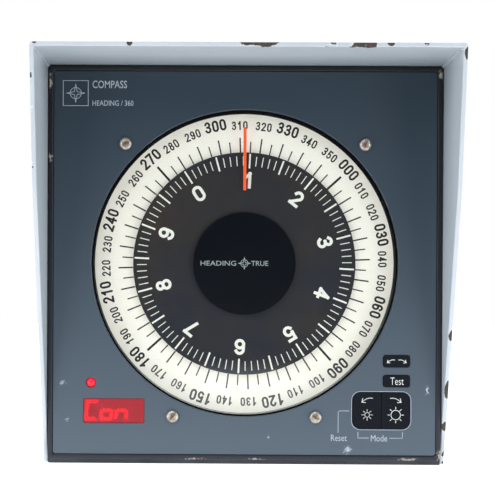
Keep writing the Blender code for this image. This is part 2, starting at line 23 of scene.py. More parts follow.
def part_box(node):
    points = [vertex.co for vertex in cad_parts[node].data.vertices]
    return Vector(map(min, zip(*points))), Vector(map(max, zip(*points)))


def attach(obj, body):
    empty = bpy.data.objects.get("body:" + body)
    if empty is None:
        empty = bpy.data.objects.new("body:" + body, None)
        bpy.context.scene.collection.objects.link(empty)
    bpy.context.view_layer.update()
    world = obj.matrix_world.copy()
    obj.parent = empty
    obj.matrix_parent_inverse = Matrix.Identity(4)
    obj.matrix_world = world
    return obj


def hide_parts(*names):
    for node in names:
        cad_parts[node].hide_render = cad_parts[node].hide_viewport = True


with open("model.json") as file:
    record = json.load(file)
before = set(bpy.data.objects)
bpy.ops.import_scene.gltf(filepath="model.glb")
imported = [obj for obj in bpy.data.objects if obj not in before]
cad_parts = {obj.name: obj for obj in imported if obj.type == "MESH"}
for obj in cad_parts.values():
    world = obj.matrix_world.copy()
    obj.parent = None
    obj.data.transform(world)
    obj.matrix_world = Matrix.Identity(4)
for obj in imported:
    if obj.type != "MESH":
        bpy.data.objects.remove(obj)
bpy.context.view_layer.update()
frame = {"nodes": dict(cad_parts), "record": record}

LOG = logging.getLogger("compass_repeater")
MM = 0.001
CLOSE = 1e-4
RGBA = {"out": "Result", "data_type": "RGBA"}
Point = tuple[float, float]
Triple = tuple[float, float, float]
Path = list[Point]
Tree = bpy.types.NodeTree
Socket = bpy.types.NodeSocket


def linear(code: str) -> tuple[float, float, float, float]:
    """Turns an sRGB hex colour to linear, with an alpha of one."""
    parts = [int(code[start : start + 2], 16) / 255 for start in (0, 2, 4)]
    turned = [p / 12.92 if p <= 0.04045 else ((p + 0.055) / 1.055) ** 2.4 for p in parts]
    return (*turned, 1.0)


def add_node(tree: Tree, kind: str, inputs: dict, out: int | str = 0, **settings) -> Socket:
    """Adds a shader node with its settings and links.

    Args:
        tree: the material's or world's node tree.
        kind: the node type's name after ShaderNode.
        inputs: values or sockets for the inputs, by name or number.
        out: the wanted output's name or number.
        settings: the node's own properties.

    Returns:
        The wanted output.
    """
    node = tree.nodes.new("ShaderNode" + kind)
    for name, value in settings.items():
        setattr(node, name, value)
    for name, value in inputs.items():
        if isinstance(value, Socket):
            tree.links.new(value, node.inputs[name])
        else:
            node.inputs[name].default_value = value
    return node.outputs[out]


def datum() -> Vector:
    """The middle of the panel's face, in metres in the row's frame."""
    low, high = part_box("front_panel")
    return Vector(((low.x + high.x) / 2, low.y, (low.z + high.z) / 2))


def local_box(node: str) -> tuple[Vector, Vector]:
    """A CAD node's corners in the instrument's millimetres."""
    low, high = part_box(node)
    return (low - datum()) / MM, (high - datum()) / MM


# ---------------------------------------------------------------------------------------------- finishes


@dataclass(frozen=True)
class Finish:
    """A worked surface: two colours that cloud into each other, a gloss that varies, a grain and dust.

    Lengths are millimetres. stretch squeezes the grain along an axis, as brushing or turning does.
    """

    name: str
    colour: str
    second: str
    roughness: float
    metallic: float = 0.0
    ior: float = 1.5
    mottle: float = 18.0
    grain: float = 0.6
    grain_depth: float = 0.02
    spread: float = 0.06
    stretch: Triple = (1.0, 1.0, 1.0)
    dust: str = ""
    dust_size: float = 1.6
    dust_level: float = 0.70
    coat: float = 0.0
    specular: float = 0.5
    glow: str = ""
    glow_strength: float = 0.0

    def make(self) -> bpy.types.Material:
        """Makes the material."""
        material = bpy.data.materials.new(self.name)
        material.use_nodes = True
        tree = material.node_tree
        shader = tree.nodes["Principled BSDF"]
        shader.inputs["Metallic"].default_value = self.metallic
        shader.inputs["IOR"].default_value = self.ior
        shader.inputs["Coat Weight"].default_value = self.coat
        shader.inputs["Specular IOR Level"].default_value = self.specular
        if self.glow:
            shader.inputs["Emission Color"].default_value = linear(self.glow)
            shader.inputs["Emission Strength"].default_value = self.glow_strength
        place = add_node(tree, "TexCoord", {}, "Object")
        worn = dict(zip(("Base Color", "Roughness", "Normal"), self.surface(tree, place)))
        for name, socket in worn.items():
            tree.links.new(socket, shader.inputs[name])
        self.finish(tree, shader)
        return material

    def surface(self, tree: Tree, place: Socket) -> tuple[Socket, ...]:
        """Draws the surface.

        Args:
            tree: the material's node tree.
            place: the point on the piece.

        Returns:
            Its colour, its roughness and, where it has a grain, its normal.
        """
        colour, rough = self.clouds(tree, place)
        if not self.grain_depth:
            return colour, rough
        run = add_node(tree, "Mapping", {"Vector": place, "Scale": self.stretch})
        noise = {"Vector": run, "Scale": 1 / (self.grain * MM), "Detail": 3.0, "Roughness": 0.55}
        grain = add_node(tree, "TexNoise", noise)
        bump = {"Height": grain, "Distance": self.grain_depth * MM, "Strength": 0.6}
        return colour, rough, add_node(tree, "Bump", bump)

    def finish(self, tree: Tree, shader: bpy.types.Node) -> None:
        """Leaves the shader as it is; a clear sheet mixes it with what is behind."""

    def clouds(self, tree: Tree, place: Socket) -> tuple[Socket, Socket]:
        """Colour and roughness that drift over the surface, with dust where it is asked for."""
        noise = {"Vector": place, "Scale": 1 / (self.mottle * MM), "Detail": 4.0, "Roughness": 0.6}
        drift = add_node(tree, "TexNoise", noise)
        share = add_node(tree, "MapRange", {"Value": drift, "From Min": 0.35, "From Max": 0.65})
        tones = {"Factor": share, "A": linear(self.colour), "B": linear(self.second)}
        colour = add_node(tree, "Mix", tones, **RGBA)
        ends = {"To Min": self.roughness - self.spread, "To Max": self.roughness + self.spread}
        rough = add_node(tree, "MapRange", {"Value": drift, "From Min": 0.3, "From Max": 0.7, **ends})
        if self.dust:
            noise = {"Vector": place, "Scale": 1 / (self.dust_size * MM), "Detail": 3.0, "Roughness": 0.7}
            specks = {"From Min": self.dust_level, "From Max": self.dust_level + 0.04}
            mask = add_node(tree, "MapRange", {"Value": add_node(tree, "TexNoise", noise), **specks})
            colour = add_node(tree, "Mix", {"Factor": mask, "A": colour, "B": linear(self.dust)}, **RGBA)
        return colour, rough


@dataclass(frozen=True)
class Knock:
    """A place that has taken blows: an ellipsoid in the instrument's millimetres, worst in its middle."""

    at: Triple
    reach: Triple

    def mask(self, tree: Tree, place: Socket) -> Socket:
        """One in the middle, falling to zero at the reach."""
        middle = datum() + Vector(self.at) * MM
        offset = add_node(tree, "VectorMath", {0: place, 1: middle}, operation="SUBTRACT")
        shrink = [1 / (reach * MM) for reach in self.reach]
        scaled = add_node(tree, "VectorMath", {0: offset, 1: shrink}, operation="MULTIPLY")
        length = add_node(tree, "VectorMath", {0: scaled}, "Value", operation="LENGTH")
        return add_node(tree, "Math", {0: 1.0, 1: length}, operation="SUBTRACT", use_clamp=True)

    @staticmethod
    def worst(tree: Tree, place: Socket, knocks: Sequence[Knock]) -> Socket:
        """The strongest of several knocks' masks."""
        found, *others = [knock.mask(tree, place) for knock in knocks]
        for mask in others:
            found = add_node(tree, "Math", {0: found, 1: mask}, operation="MAXIMUM")
        return found


@dataclass(frozen=True)
class ScuffedCoat(Finish):
    """A coat with painted light: darker at the top as painted shade under the visor, lighter towards the
    bottom as painted light, with scuffs where hands have met it.
    """

    pale: str = "667382"
    scuff: str = "c3cdd4"
    scuff_size: float = 1.1
    scuffs: tuple[Knock, ...] = ()
    fade_power: float = 1.45
    fade_half: float = 95.0

    def clouds(self, tree: Tree, place: Socket) -> tuple[Socket, Socket]:
        """The coat's own colour with painted light, lighter towards the bottom, and broken scuffs over it."""
        colour, rough = Finish.clouds(self, tree, place)
        height = add_node(tree, "SeparateXYZ", {"Vector": place}, "Z")
        # Painted light: the colour runs from the coat's own tone at the top to a lighter tone at the bottom,
        # standing in for the visor's shade above and the light below.
        top, bottom = (datum().z + side * self.fade_half * MM for side in (1, -1))
        painted_light_share = add_node(tree, "MapRange", {"Value": height, "From Min": top, "From Max": bottom})
        painted_light_share = add_node(tree, "Math", {0: painted_light_share, 1: self.fade_power}, operation="POWER")
        colour = add_node(tree, "Mix", {"Factor": painted_light_share, "A": colour, "B": linear(self.pale)}, **RGBA)
        if not self.scuffs:
            return colour, rough
        hurt = Knock.worst(tree, place, self.scuffs)
        noise = {"Vector": place, "Scale": 1 / (self.scuff_size * MM), "Detail": 4.0, "Roughness": 0.7}
        broken = add_node(tree, "TexNoise", noise)
        level = add_node(tree, "Math", {0: hurt, 1: 0.35, 2: broken}, operation="MULTIPLY_ADD")
        seen = add_node(tree, "MapRange", {"Value": level, "From Min": 0.72, "From Max": 0.80})
        seen = add_node(tree, "Math", {0: seen, 1: hurt}, operation="MULTIPLY", use_clamp=True)
        colour = add_node(tree, "Mix", {"Factor": seen, "A": colour, "B": linear(self.scuff)}, **RGBA)
        return colour, rough


@dataclass(frozen=True)
class ChippedPaint(Finish):
    """Brush-touched enamel on sheet steel: knocks along the edges show primer, rust and bare metal.

    The distances to the sheet's edges come from the housing's own outline.
    """

    primer: str = "3a3735"
    rust: str = "624a3c"
    bare: str = "6d6c6c"
    lifted: str = "e6eaec"
    dirt: str = "727d86"
    reach: float = 3.4
    chip: float = 5.0
    run: float = 30.0
    bloom: float = 1.8
    pit: float = 0.15
    bend_weight: float = 1.6
    knocks: tuple[Knock, ...] = (
        Knock((7.0, -36.0, 98.5), (16.0, 5.0, 4.0)),
        Knock((52.0, -36.0, 98.5), (8.0, 5.0, 4.0)),
        Knock((64.0, -36.0, 98.5), (3.0, 3.0, 3.0)),
        Knock((80.0, -36.0, 98.5), (2.5, 3.0, 3.0)),
        Knock((-53.0, -36.0, 98.5), (2.5, 3.0, 3.0)),
        Knock((98.5, -36.0, 93.0), (2.0, 2.6, 5.0)),
        Knock((-98.5, -35.5, 81.0), (2.6, 3.2, 8.0)),
        Knock((-96.0, -36.0, 98.5), (2.2, 2.6, 2.2)),
        Knock((-98.5, -28.0, 44.0), (3.0, 4.0, 4.0)),
        Knock((98.5, -11.0, -34.0), (3.0, 4.0, 5.0)),
        Knock((98.5, -5.0, -61.0), (3.5, 5.0, 10.0)),
        Knock((98.5, -1.0, -79.0), (3.0, 4.0, 4.0)),
        Knock((98.5, 3.0, -95.0), (4.0, 6.0, 7.0)),
        Knock((-98.5, 3.0, -95.0), (4.0, 5.0, 5.0)),
        Knock((98.5, 100.0, 98.5), (9.0, 12.0, 9.0)),
        Knock((-98.5, 60.0, 98.5), (5.0, 16.0, 5.0)),
    )

    def surface(self, tree: Tree, place: Socket) -> tuple[Socket, ...]:
        """Enamel first, then the painted shade under the visor and the knocks through it."""
        colour, rough = self.clouds(tree, place)
        across, depth, height = (add_node(tree, "SeparateXYZ", {"Vector": place}, axis) for axis in "XYZ")
        edge_at, inside = self.distances(tree, across, depth, height)
        # Painted shade: the inner faces darken towards the frame and the top, where the visor shades them.
        colour = self.soiled(tree, colour, inside, depth, height)
        level = self.blows(tree, place, edge_at)
        lifted = add_node(tree, "MapRange", {"Value": level, "From Min": 0.750, "From Max": 0.765})
        gone = add_node(tree, "MapRange", {"Value": level, "From Min": 0.765, "From Max": 0.780})
        colour = add_node(tree, "Mix", {"Factor": lifted, "A": colour, "B": linear(self.lifted)}, **RGBA)
        colour = add_node(tree, "Mix", {"Factor": gone, "A": colour, "B": self.steel(tree, place)}, **RGBA)
        rough = add_node(tree, "Mix", {"Factor": gone, "A": rough, "B": 0.75}, "Result")
        grain = add_node(tree, "TexNoise", {"Vector": place, "Scale": 1 / (self.grain * MM), "Detail": 2.0})
        peel = add_node(tree, "Bump", {"Height": grain, "Distance": self.grain_depth * MM, "Strength": 0.5})
        pits = {"Height": gone, "Distance": self.pit * MM, "Strength": 0.9, "Normal": peel}
        return colour, rough, add_node(tree, "Bump", pits, invert=True)

    def distances(self, tree: Tree, across: Socket, depth: Socket, height: Socket) -> tuple[Socket, Socket]:
        """Metres from the sheet's nearest edge, and metres in from its outside."""
        shell = Shell()
        zero = datum().y
        front, other = (
            add_node(
                tree,
                "Math",
                {0: height, 1: -slope, 2: zero + (slope * shell.knee_z() - shell.knee) * MM},
                operation="MULTIPLY_ADD",
            )
            for slope in shell.slopes()
        )
        front = add_node(tree, "Math", {0: front, 1: other}, operation="MAXIMUM")
        ahead = add_node(tree, "Math", {0: depth, 1: front}, operation="SUBTRACT")
        behind = add_node(tree, "Math", {0: zero + shell.rear * MM, 1: depth}, operation="SUBTRACT")
        side = add_node(tree, "Math", {0: across}, operation="ABSOLUTE")
        side = add_node(tree, "Math", {0: shell.half * MM, 1: side}, operation="SUBTRACT")
        top = add_node(tree, "Math", {0: 2 * shell.half * MM, 1: height}, operation="SUBTRACT")
        bend = add_node(tree, "Math", {0: side, 1: top}, operation="MAXIMUM")
        bend = add_node(tree, "Math", {0: bend, 1: self.bend_weight}, operation="MULTIPLY")
        edge = ahead
        for rival in (behind, bend, height):
            edge = add_node(tree, "Math", {0: edge, 1: rival}, operation="MINIMUM")
        return edge, add_node(tree, "Math", {0: side, 1: top}, operation="MINIMUM")

    def soiled(self, tree: Tree, colour: Socket, inside: Socket, depth: Socket, height: Socket) -> Socket:
        """Paints shade on the inner faces under the visor: darkest close to the frame and higher up, where
        the visor shades them.
        """
        zero = datum().y
        spans = (
            {"Value": inside, "From Min": 0.0008, "From Max": 0.0015},
            {"Value": depth, "From Min": zero - 0.020, "From Max": zero, "To Max": 0.62},
            {"Value": height, "From Min": 0.080, "From Max": 0.185, "To Min": 0.15},
        )
        share, *others = [add_node(tree, "MapRange", span) for span in spans]
        for factor in others:
            share = add_node(tree, "Math", {0: share, 1: factor}, operation="MULTIPLY")
        return add_node(tree, "Mix", {"Factor": share, "A": colour, "B": linear(self.dirt)}, **RGBA)

    def blows(self, tree: Tree, place: Socket, edge_at: Socket) -> Socket:
        """How hard each point was struck: in runs along the edges, and most at the knocks."""
        fall = {"Value": edge_at, "From Max": self.reach * MM, "To Min": 1.0, "To Max": 0.0}
        near = add_node(tree, "MapRange", fall)
        runs = add_node(tree, "TexNoise", {"Vector": place, "Scale": 1 / (self.run * MM), "Detail": 2.0})
        runs = add_node(tree, "MapRange", {"Value": runs, "From Min": 0.50, "From Max": 0.66, "To Max": 0.5})
        hits = Knock.worst(tree, place, self.knocks)
        hits = add_node(tree, "Math", {0: hits, 1: 1.7}, operation="MULTIPLY", use_clamp=True)
        runs = add_node(tree, "Math", {0: runs, 1: hits}, operation="MAXIMUM")
        near = add_node(tree, "Math", {0: near, 1: runs}, operation="MULTIPLY")
        along = add_node(tree, "Mapping", {"Vector": place, "Scale": (0.45, 1.0, 0.45)})
        noise = {"Vector": along, "Scale": 1 / (self.chip * MM), "Detail": 5.0, "Roughness": 0.55}
        flakes = add_node(tree, "TexNoise", noise)
        return add_node(tree, "Math", {0: near, 1: 0.34, 2: flakes}, operation="MULTIPLY_ADD")

    def steel(self, tree: Tree, place: Socket) -> Socket:
        """The colour below the paint: primer, blooms of rust and specks of bare metal."""
        noise = {"Vector": place, "Scale": 1 / (self.bloom * MM), "Detail": 4.0, "Roughness": 0.7}
        under = add_node(tree, "TexNoise", noise)
        rusty = add_node(tree, "MapRange", {"Value": under, "From Min": 0.54, "From Max": 0.66})
        metal = add_node(tree, "MapRange", {"Value": under, "From Min": 0.40, "From Max": 0.30})
        tones = {"Factor": rusty, "A": linear(self.primer), "B": linear(self.rust)}
        below = add_node(tree, "Mix", tones, **RGBA)
        return add_node(tree, "Mix", {"Factor": metal, "A": below, "B": linear(self.bare)}, **RGBA)


@dataclass(frozen=True)
class Pane(Finish):
    """Flat clear or tinted sheet that shows what is behind it and mirrors a little."""

    clear: str = "ffffff"
    haze: float = 0.0
    facing_gloss: float = 0.06

    def surface(self, tree: Tree, place: Socket) -> tuple[Socket, ...]:
        """The sheet's own colour and gloss, with no grain."""
        return self.clouds(tree, place)

    def finish(self, tree: Tree, shader: bpy.types.Node) -> None:
        """Mixes a clear shader with the sheet's own gloss, more of it at a glancing angle."""
        through = add_node(tree, "BsdfTransparent", {"Color": linear(self.clear)})
        away = add_node(tree, "LayerWeight", {"Blend": 0.5}, "Facing")
        rim = add_node(tree, "Math", {0: away, 1: 5.0}, operation="POWER")
        share = add_node(tree, "MapRange", {"Value": rim, "To Min": self.facing_gloss + self.haze})
        inner = add_node(tree, "NewGeometry", {}, "Backfacing")
        share = add_node(tree, "Math", {0: share, 1: inner}, operation="SUBTRACT", use_clamp=True)
        both = add_node(tree, "MixShader", {0: share, 1: through, 2: shader.outputs[0]})
        tree.links.new(both, tree.nodes["Material Output"].inputs["Surface"])


ENAMEL = {"grain": 1.1, "grain_depth": 0.03, "mottle": 60.0}
FLAT = {"grain_depth": 0.0}


class Look(Enum):
    """Every finish on the instrument, by the piece that wears it."""

    # Semi-gloss enamel over primer on 2 mm sheet steel: soft highlights, a faint orange peel, knocked edges,
    # and painted shade on the inner faces close to the frame.
    HOUSING = ChippedPaint("housing_enamel", "cbd3d9", "c2cbd2", 0.36, spread=0.05, **ENAMEL)
    # The same enamel on the loose rear cover, which is taken off and laid flat and so keeps its edges.
    COVER = Finish("cover_enamel", "cbd3d9", "c2cbd2", 0.36, dust="a4a9ab", dust_level=0.76, **ENAMEL)
    # Dark enamel on the tray below the frame, dull from handling.
    TRAY = Finish("tray_enamel", "3a3f48", "2a2e36", 0.5, grain=0.8, dust="6f747b", dust_level=0.74)
    # Die-cast frame in satin black lacquer, with a painted bluish reflection that grows towards the bottom,
    # and whitish knocks.
    FRAME = ScuffedCoat(
        "frame_lacquer", "0b0e14", "080a10", 0.36, grain=0.7, grain_depth=0.012, dust="5d5a55",
        dust_size=2.2, dust_level=0.74, pale="171d29", scuff="b3aa9c", scuff_size=1.4,
        scuffs=(
            Knock((-95.0, -0.5, 88.0), (2.5, 3.0, 10.0)),
            Knock((-95.0, -0.5, 51.0), (2.5, 3.0, 4.0)),
            Knock((95.0, -0.5, 92.0), (3.0, 3.0, 5.0)),
            Knock((-24.0, 0.0, -95.6), (11.0, 3.0, 1.4)),
            Knock((6.0, 0.0, -95.6), (10.0, 3.0, 1.4)),
            Knock((80.0, 0.0, -95.2), (13.0, 3.0, 1.8)),
            Knock((95.0, 0.0, -93.0), (3.0, 3.0, 6.0)),
        ),
    )
    # Slate powder coat on an aluminium plate: an even satin with a fine tooth and wiped-on dust, with painted
    # shade darkening its top under the visor and painted light making it lighter towards the bottom.
    PANEL = ScuffedCoat(
        "panel_powder_coat", "283844", "253440", 0.42, grain=0.45, grain_depth=0.010, mottle=70.0,
        dust="74818d", dust_size=3.0, dust_level=0.775, pale="4d5b68", scuff="b9c6cf", scuff_size=1.2,
        scuffs=(
            Knock((-88.8, 0.0, -59.0), (3.2, 3.0, 3.4)),
            Knock((-86.3, 0.0, -76.6), (2.0, 3.0, 2.0)),
            Knock((89.3, 0.0, -61.5), (2.0, 3.0, 5.5)),
            Knock((50.7, 0.0, -91.0), (5.0, 3.0, 4.0)),
            Knock((12.0, 0.0, -85.0), (1.6, 3.0, 1.6)),
        ),
    )
    # Black anodised aluminium of the aperture's wall.
    APERTURE = Finish("aperture_anodised", "07080b", "0b0c10", 0.9, grain=0.5, specular=0.04)
    # The same anodising behind the glass, with painted light that makes it lighter along the bottom.
    CLAMP = ScuffedCoat(
        "clamp_anodised", "07080b", "0b0c10", 0.9, grain=0.5, specular=0.04, pale="a9aca9",
        fade_power=4.0, fade_half=75.0,
    )
    # Printed card of white PVC, a little warm from age. Its glow is partly the dial lamp behind it and partly
    # painted light that keeps it bright in the visor's shade.
    CARD = Finish(
        "card_white_pvc", "f4f0ea", "eee9e2", 0.6, mottle=40.0, glow="fdf7f0", glow_strength=0.26, **FLAT
    )
    # The fine card's matt black print, with broad brownish clouds that are a painted reflection.
    CARD_BLACK = Finish("card_black_pvc", "1f2431", "332c2a", 0.6, mottle=64.0, specular=0.3, **FLAT)
    # Screen-printed inks: flat and slightly raised.
    INK_BLACK = Finish("ink_black", "15161a", "1b1c20", 0.6, **FLAT)
    INK_WHITE = Finish("ink_white", "e6e8e4", "dcdfda", 0.6, **FLAT)
    INK_LEGEND = Finish("ink_legend", "b4bec5", "a9b4bc", 0.6, **FLAT)
    # The fine card's figures glow: partly the dial lamp coming through, partly painted light that keeps them
    # bright in the visor's shade.
    INK_LIT = Finish(
        "ink_translucent_white", "eeeeea", "e6e6e0", 0.6, glow="f4f4ee", glow_strength=0.14, **FLAT
    )
    # Gloss print on the fixed disc in the middle.
    DISC = Finish("disc_navy_gloss", "020611", "030814", 0.3, spread=0.01, specular=0.2, **FLAT)
    # Fluorescent orange lacquer on the lubber line; its glow is painted light that keeps it bright in the
    # visor's shade.
    LUBBER = Finish("lubber_lacquer", "f4602f", "ee562a", 0.5, grain=0.4, glow="f65a2c", glow_strength=0.26)
    # Clear float glass: a plain mirror laid over what is behind it, strongest at a glance.
    GLASS = Pane("window_float_glass", "f8fafb", "f4f8fa", 0.03, metallic=1.0, spread=0.01, clear="fbfcfa")
    # Red acrylic filter, hazy from fine scratches; its glow is painted light standing in for the display's
    # light scattered in it.
    FILTER = Pane(
        "display_red_acrylic", "c02c38", "b42632", 0.22, clear="ff5a60", haze=0.50, mottle=9.0,
        glow="d03440", glow_strength=0.18,
    )
    # The display's bars: lit, the light that they spill round them, and dark.
    LIT = Finish("segment_lit", "ff2438", "ff1c34", 0.5, glow="ff1440", glow_strength=1.9)
    HALO = Finish("segment_spill", "c02036", "b81c32", 0.6, glow="e0183c", glow_strength=0.55)
    UNLIT = Finish("segment_dark", "7d1c26", "741722", 0.5)
    # Red epoxy of the alarm lamp's lens.
    LED = Finish("led_epoxy_red", "d80e2a", "c80a24", 0.25, ior=1.54, glow="ff1034", glow_strength=0.5)
    # Silicone keypad, matt with a satin print.
    KEY = Finish(
        "key_silicone", "0a0f17", "0d131c", 0.62, ior=1.41, specular=0.2, grain=0.35, grain_depth=0.012,
        dust="4c545f",
    )
    # Nickel-plated steel screws gone brown in the slots.
    SCREW = Finish(
        "screw_nickel_plate", "c6c2b9", "8f887f", 0.36, metallic=0.9, mottle=2.2, grain=0.5, dust="6a5038",
        dust_size=1.4, dust_level=0.60,
    )
    RUST = Finish("screw_slot_rust", "5b4028", "7c5a38", 0.85, mottle=1.2, grain=0.4, grain_depth=0.05)
    # Bare metals: milled gear plates, turned shafts and machined wheels.
    ALUMINIUM = Finish(
        "plate_milled_aluminium", "c4c7ca", "b4b8bc", 0.36, metallic=1.0, grain=0.3, stretch=(0.05, 1, 1)
    )
    STEEL = Finish(
        "shaft_turned_steel", "9ea1a4", "8b8e92", 0.3, metallic=1.0, grain=0.25, stretch=(1, 0.1, 1)
    )
    BRASS = Finish(
        "wheel_machined_brass", "c9a04c", "b88c3c", 0.3, metallic=1.0, grain=0.3, stretch=(1, 0.2, 1)
    )
    # Solder mask under a thin gloss coat.
    BOARD = Finish(
        "board_solder_mask", "1c5a35", "174d2d", 0.4, mottle=2.0, grain=1.5, grain_depth=0.03, coat=0.2
    )
    # Moulded plastics and rubber, each with its own gloss.
    MOULDING = Finish("module_black_abs", "17181a", "1f2022", 0.5, ior=1.53, grain=0.5)
    RUBBER = Finish("seal_black_rubber", "141414", "1c1c1c", 0.8, grain=0.7)
    OPAL = Finish("diffuser_opal_acrylic", "eeeeea", "e8e8e2", 0.5, ior=1.49)
    NYLON = Finish("gland_black_nylon", "1a1b1d", "232427", 0.48, ior=1.53, grain=0.4, dust="3a3b3e")
    TERMINAL = Finish("terminal_green_nylon", "2f7a4a", "2a6f43", 0.5, ior=1.53)

    @functools.cache
    def material(self) -> bpy.types.Material:
        """This finish's material, made once."""
        return self.value.make()


# ---------------------------------------------------------------------------------------------- outlines


@dataclass(frozen=True)
class Outline:
    """A rectangle with round corners, or a circle, in x and z; left is the left corners' own radius."""

    x: float
    z: float
    width: float
    height: float
    radius: float = 0.0
    steps: int = 8
    left: float | None = None

    @staticmethod
    def circle(x: float, z: float, radius: float, steps: int = 16) -> Outline:
        """A circle; steps is the count in one quarter."""
        return Outline(x, z, 2 * radius, 2 * radius, radius, steps)

    @staticmethod
    def of_node(node: str, radius: float = 0.0) -> Outline:
        """The front outline of a CAD node's box."""
        low, high = local_box(node)
        return Outline((low.x + high.x) / 2, (low.z + high.z) / 2, high.x - low.x, high.z - low.z, radius)

    def eased(self) -> Outline:
        """The hole round it, let out by the pieces' running gap."""
        return Outline(self.x, self.z, self.width + 0.2, self.height + 0.2, self.radius + 0.1)

    def points(self, grow: float = 0.0) -> Path:
        """Counter-clockwise points, all round, moved outwards by grow."""
        made: Path = []
        for turn, (side, up) in enumerate([(1, 1), (-1, 1), (-1, -1), (1, -1)]):
            own = self.left if self.left is not None and side < 0 else self.radius
            bend = max(own + grow, 0.01)
            cx = self.x + side * (self.width / 2 + grow - bend)
            cz = self.z + up * (self.height / 2 + grow - bend)
            made += arc(cx, cz, bend, bend, 90 * turn, 90 * (turn + 1), self.steps)
        return [p for p, q in zip(made, made[1:] + made[:1]) if math.dist(p, q) > CLOSE]


def arc(x: float, z: float, rx: float, rz: float, start: float, end: float, steps: int = 10) -> Path:
    """Points on an ellipse's arc, angles in degrees counter-clockwise from the right."""
    turns = [math.radians(start + (end - start) * step / steps) for step in range(steps + 1)]
    return [(x + rx * math.cos(turn), z + rz * math.sin(turn)) for turn in turns]


# The ten figures, as the middle lines of their strokes in a box from -1 to 1. Each list is one stroke.
FIGURES: dict[str, list[Path]] = {
    "0": [arc(0, 0.45, 1, 0.55, 0, 180) + arc(0, -0.45, 1, 0.55, 180, 360) + [(1.0, 0.45)]],
    "1": [[(-0.65, 0.5), (0.22, 0.98)], [(0.22, 1.0), (0.22, -1.0)]],
    "2": [arc(0, 0.46, 0.95, 0.54, 165, -28) + [(-0.9, -0.94)], [(-0.95, -1.0), (0.98, -1.0)]],
    "3": [arc(0, 0.52, 0.86, 0.48, 155, -90) + [(-0.15, 0.04)], arc(0, -0.48, 1, 0.52, 90, -155)],
    "4": [[(0.4, 1.0), (-0.98, -0.42)], [(-0.98, -0.46), (1.0, -0.46)], [(0.42, 0.95), (0.42, -1.0)]],
    "5": [[(0.88, 1.0), (-0.72, 1.0)], [(-0.72, 1.0), (-0.84, 0.02)], arc(0, -0.38, 0.98, 0.62, 140, -150)],
    "6": [arc(0, 0.45, 0.95, 0.55, 25, 180) + [(-0.97, -0.4)], arc(0, -0.42, 0.97, 0.58, 0, 360, 18)],
    "7": [[(-0.95, 1.0), (0.95, 1.0)], [(0.92, 0.96), (-0.28, -1.0)]],
    "8": [arc(0, 0.53, 0.84, 0.47, 0, 360, 18), arc(0, -0.46, 1, 0.54, 0, 360, 18)],
    "9": [arc(0, -0.45, 0.95, 0.55, 205, 360) + [(0.97, 0.4)], arc(0, 0.42, 0.97, 0.58, 0, 360, 18)],
}


@dataclass(frozen=True)
class Lettering:
    """A size of figure: full height and width, the strokes' width and the clear space between figures."""

    height: float
    width: float
    stroke: float
    gap: float = 0.0

    def lines(self, text: str, radius: float, degrees: float) -> list[Path]:
        """Stroke lines of a number on a dial.

        Args:
            text: digits.
            radius: the number's distance from the dial's centre.
            degrees: its bearing, clockwise from the top.

        Returns:
            One path for each stroke.
        """
        pitch = self.width + self.gap
        u_scale, v_scale = (self.width - self.stroke) / 2, (self.height - self.stroke) / 2
        cosine, sine = math.cos(math.radians(degrees)), math.sin(math.radians(degrees))
        made = []
        for place, digit in enumerate(text):
            middle = pitch * (place - (len(text) - 1) / 2)
            for line in FIGURES[digit]:
                flat = [(middle + u * u_scale, radius + v * v_scale) for u, v in line]
                made.append([(x * cosine + z * sine, z * cosine - x * sine) for x, z in flat])
        return made


def star_lines(x: float, z: float, size: float) -> list[Path]:
    """A plain four-point compass star in a ring."""
    ring = arc(x, z, size * 0.62, size * 0.62, 0, 360, 36)
    points = []
    for step in range(8):
        reach = size * (0.22 if step % 2 else 1.0)
        turn = math.radians(90 + 45 * step)
        points.append((x + reach * math.cos(turn), z + reach * math.sin(turn)))
    return [ring, *([one, other] for one, other in zip(points, points[1:] + points[:1]))]


# ---------------------------------------------------------------------------------------------- sketches


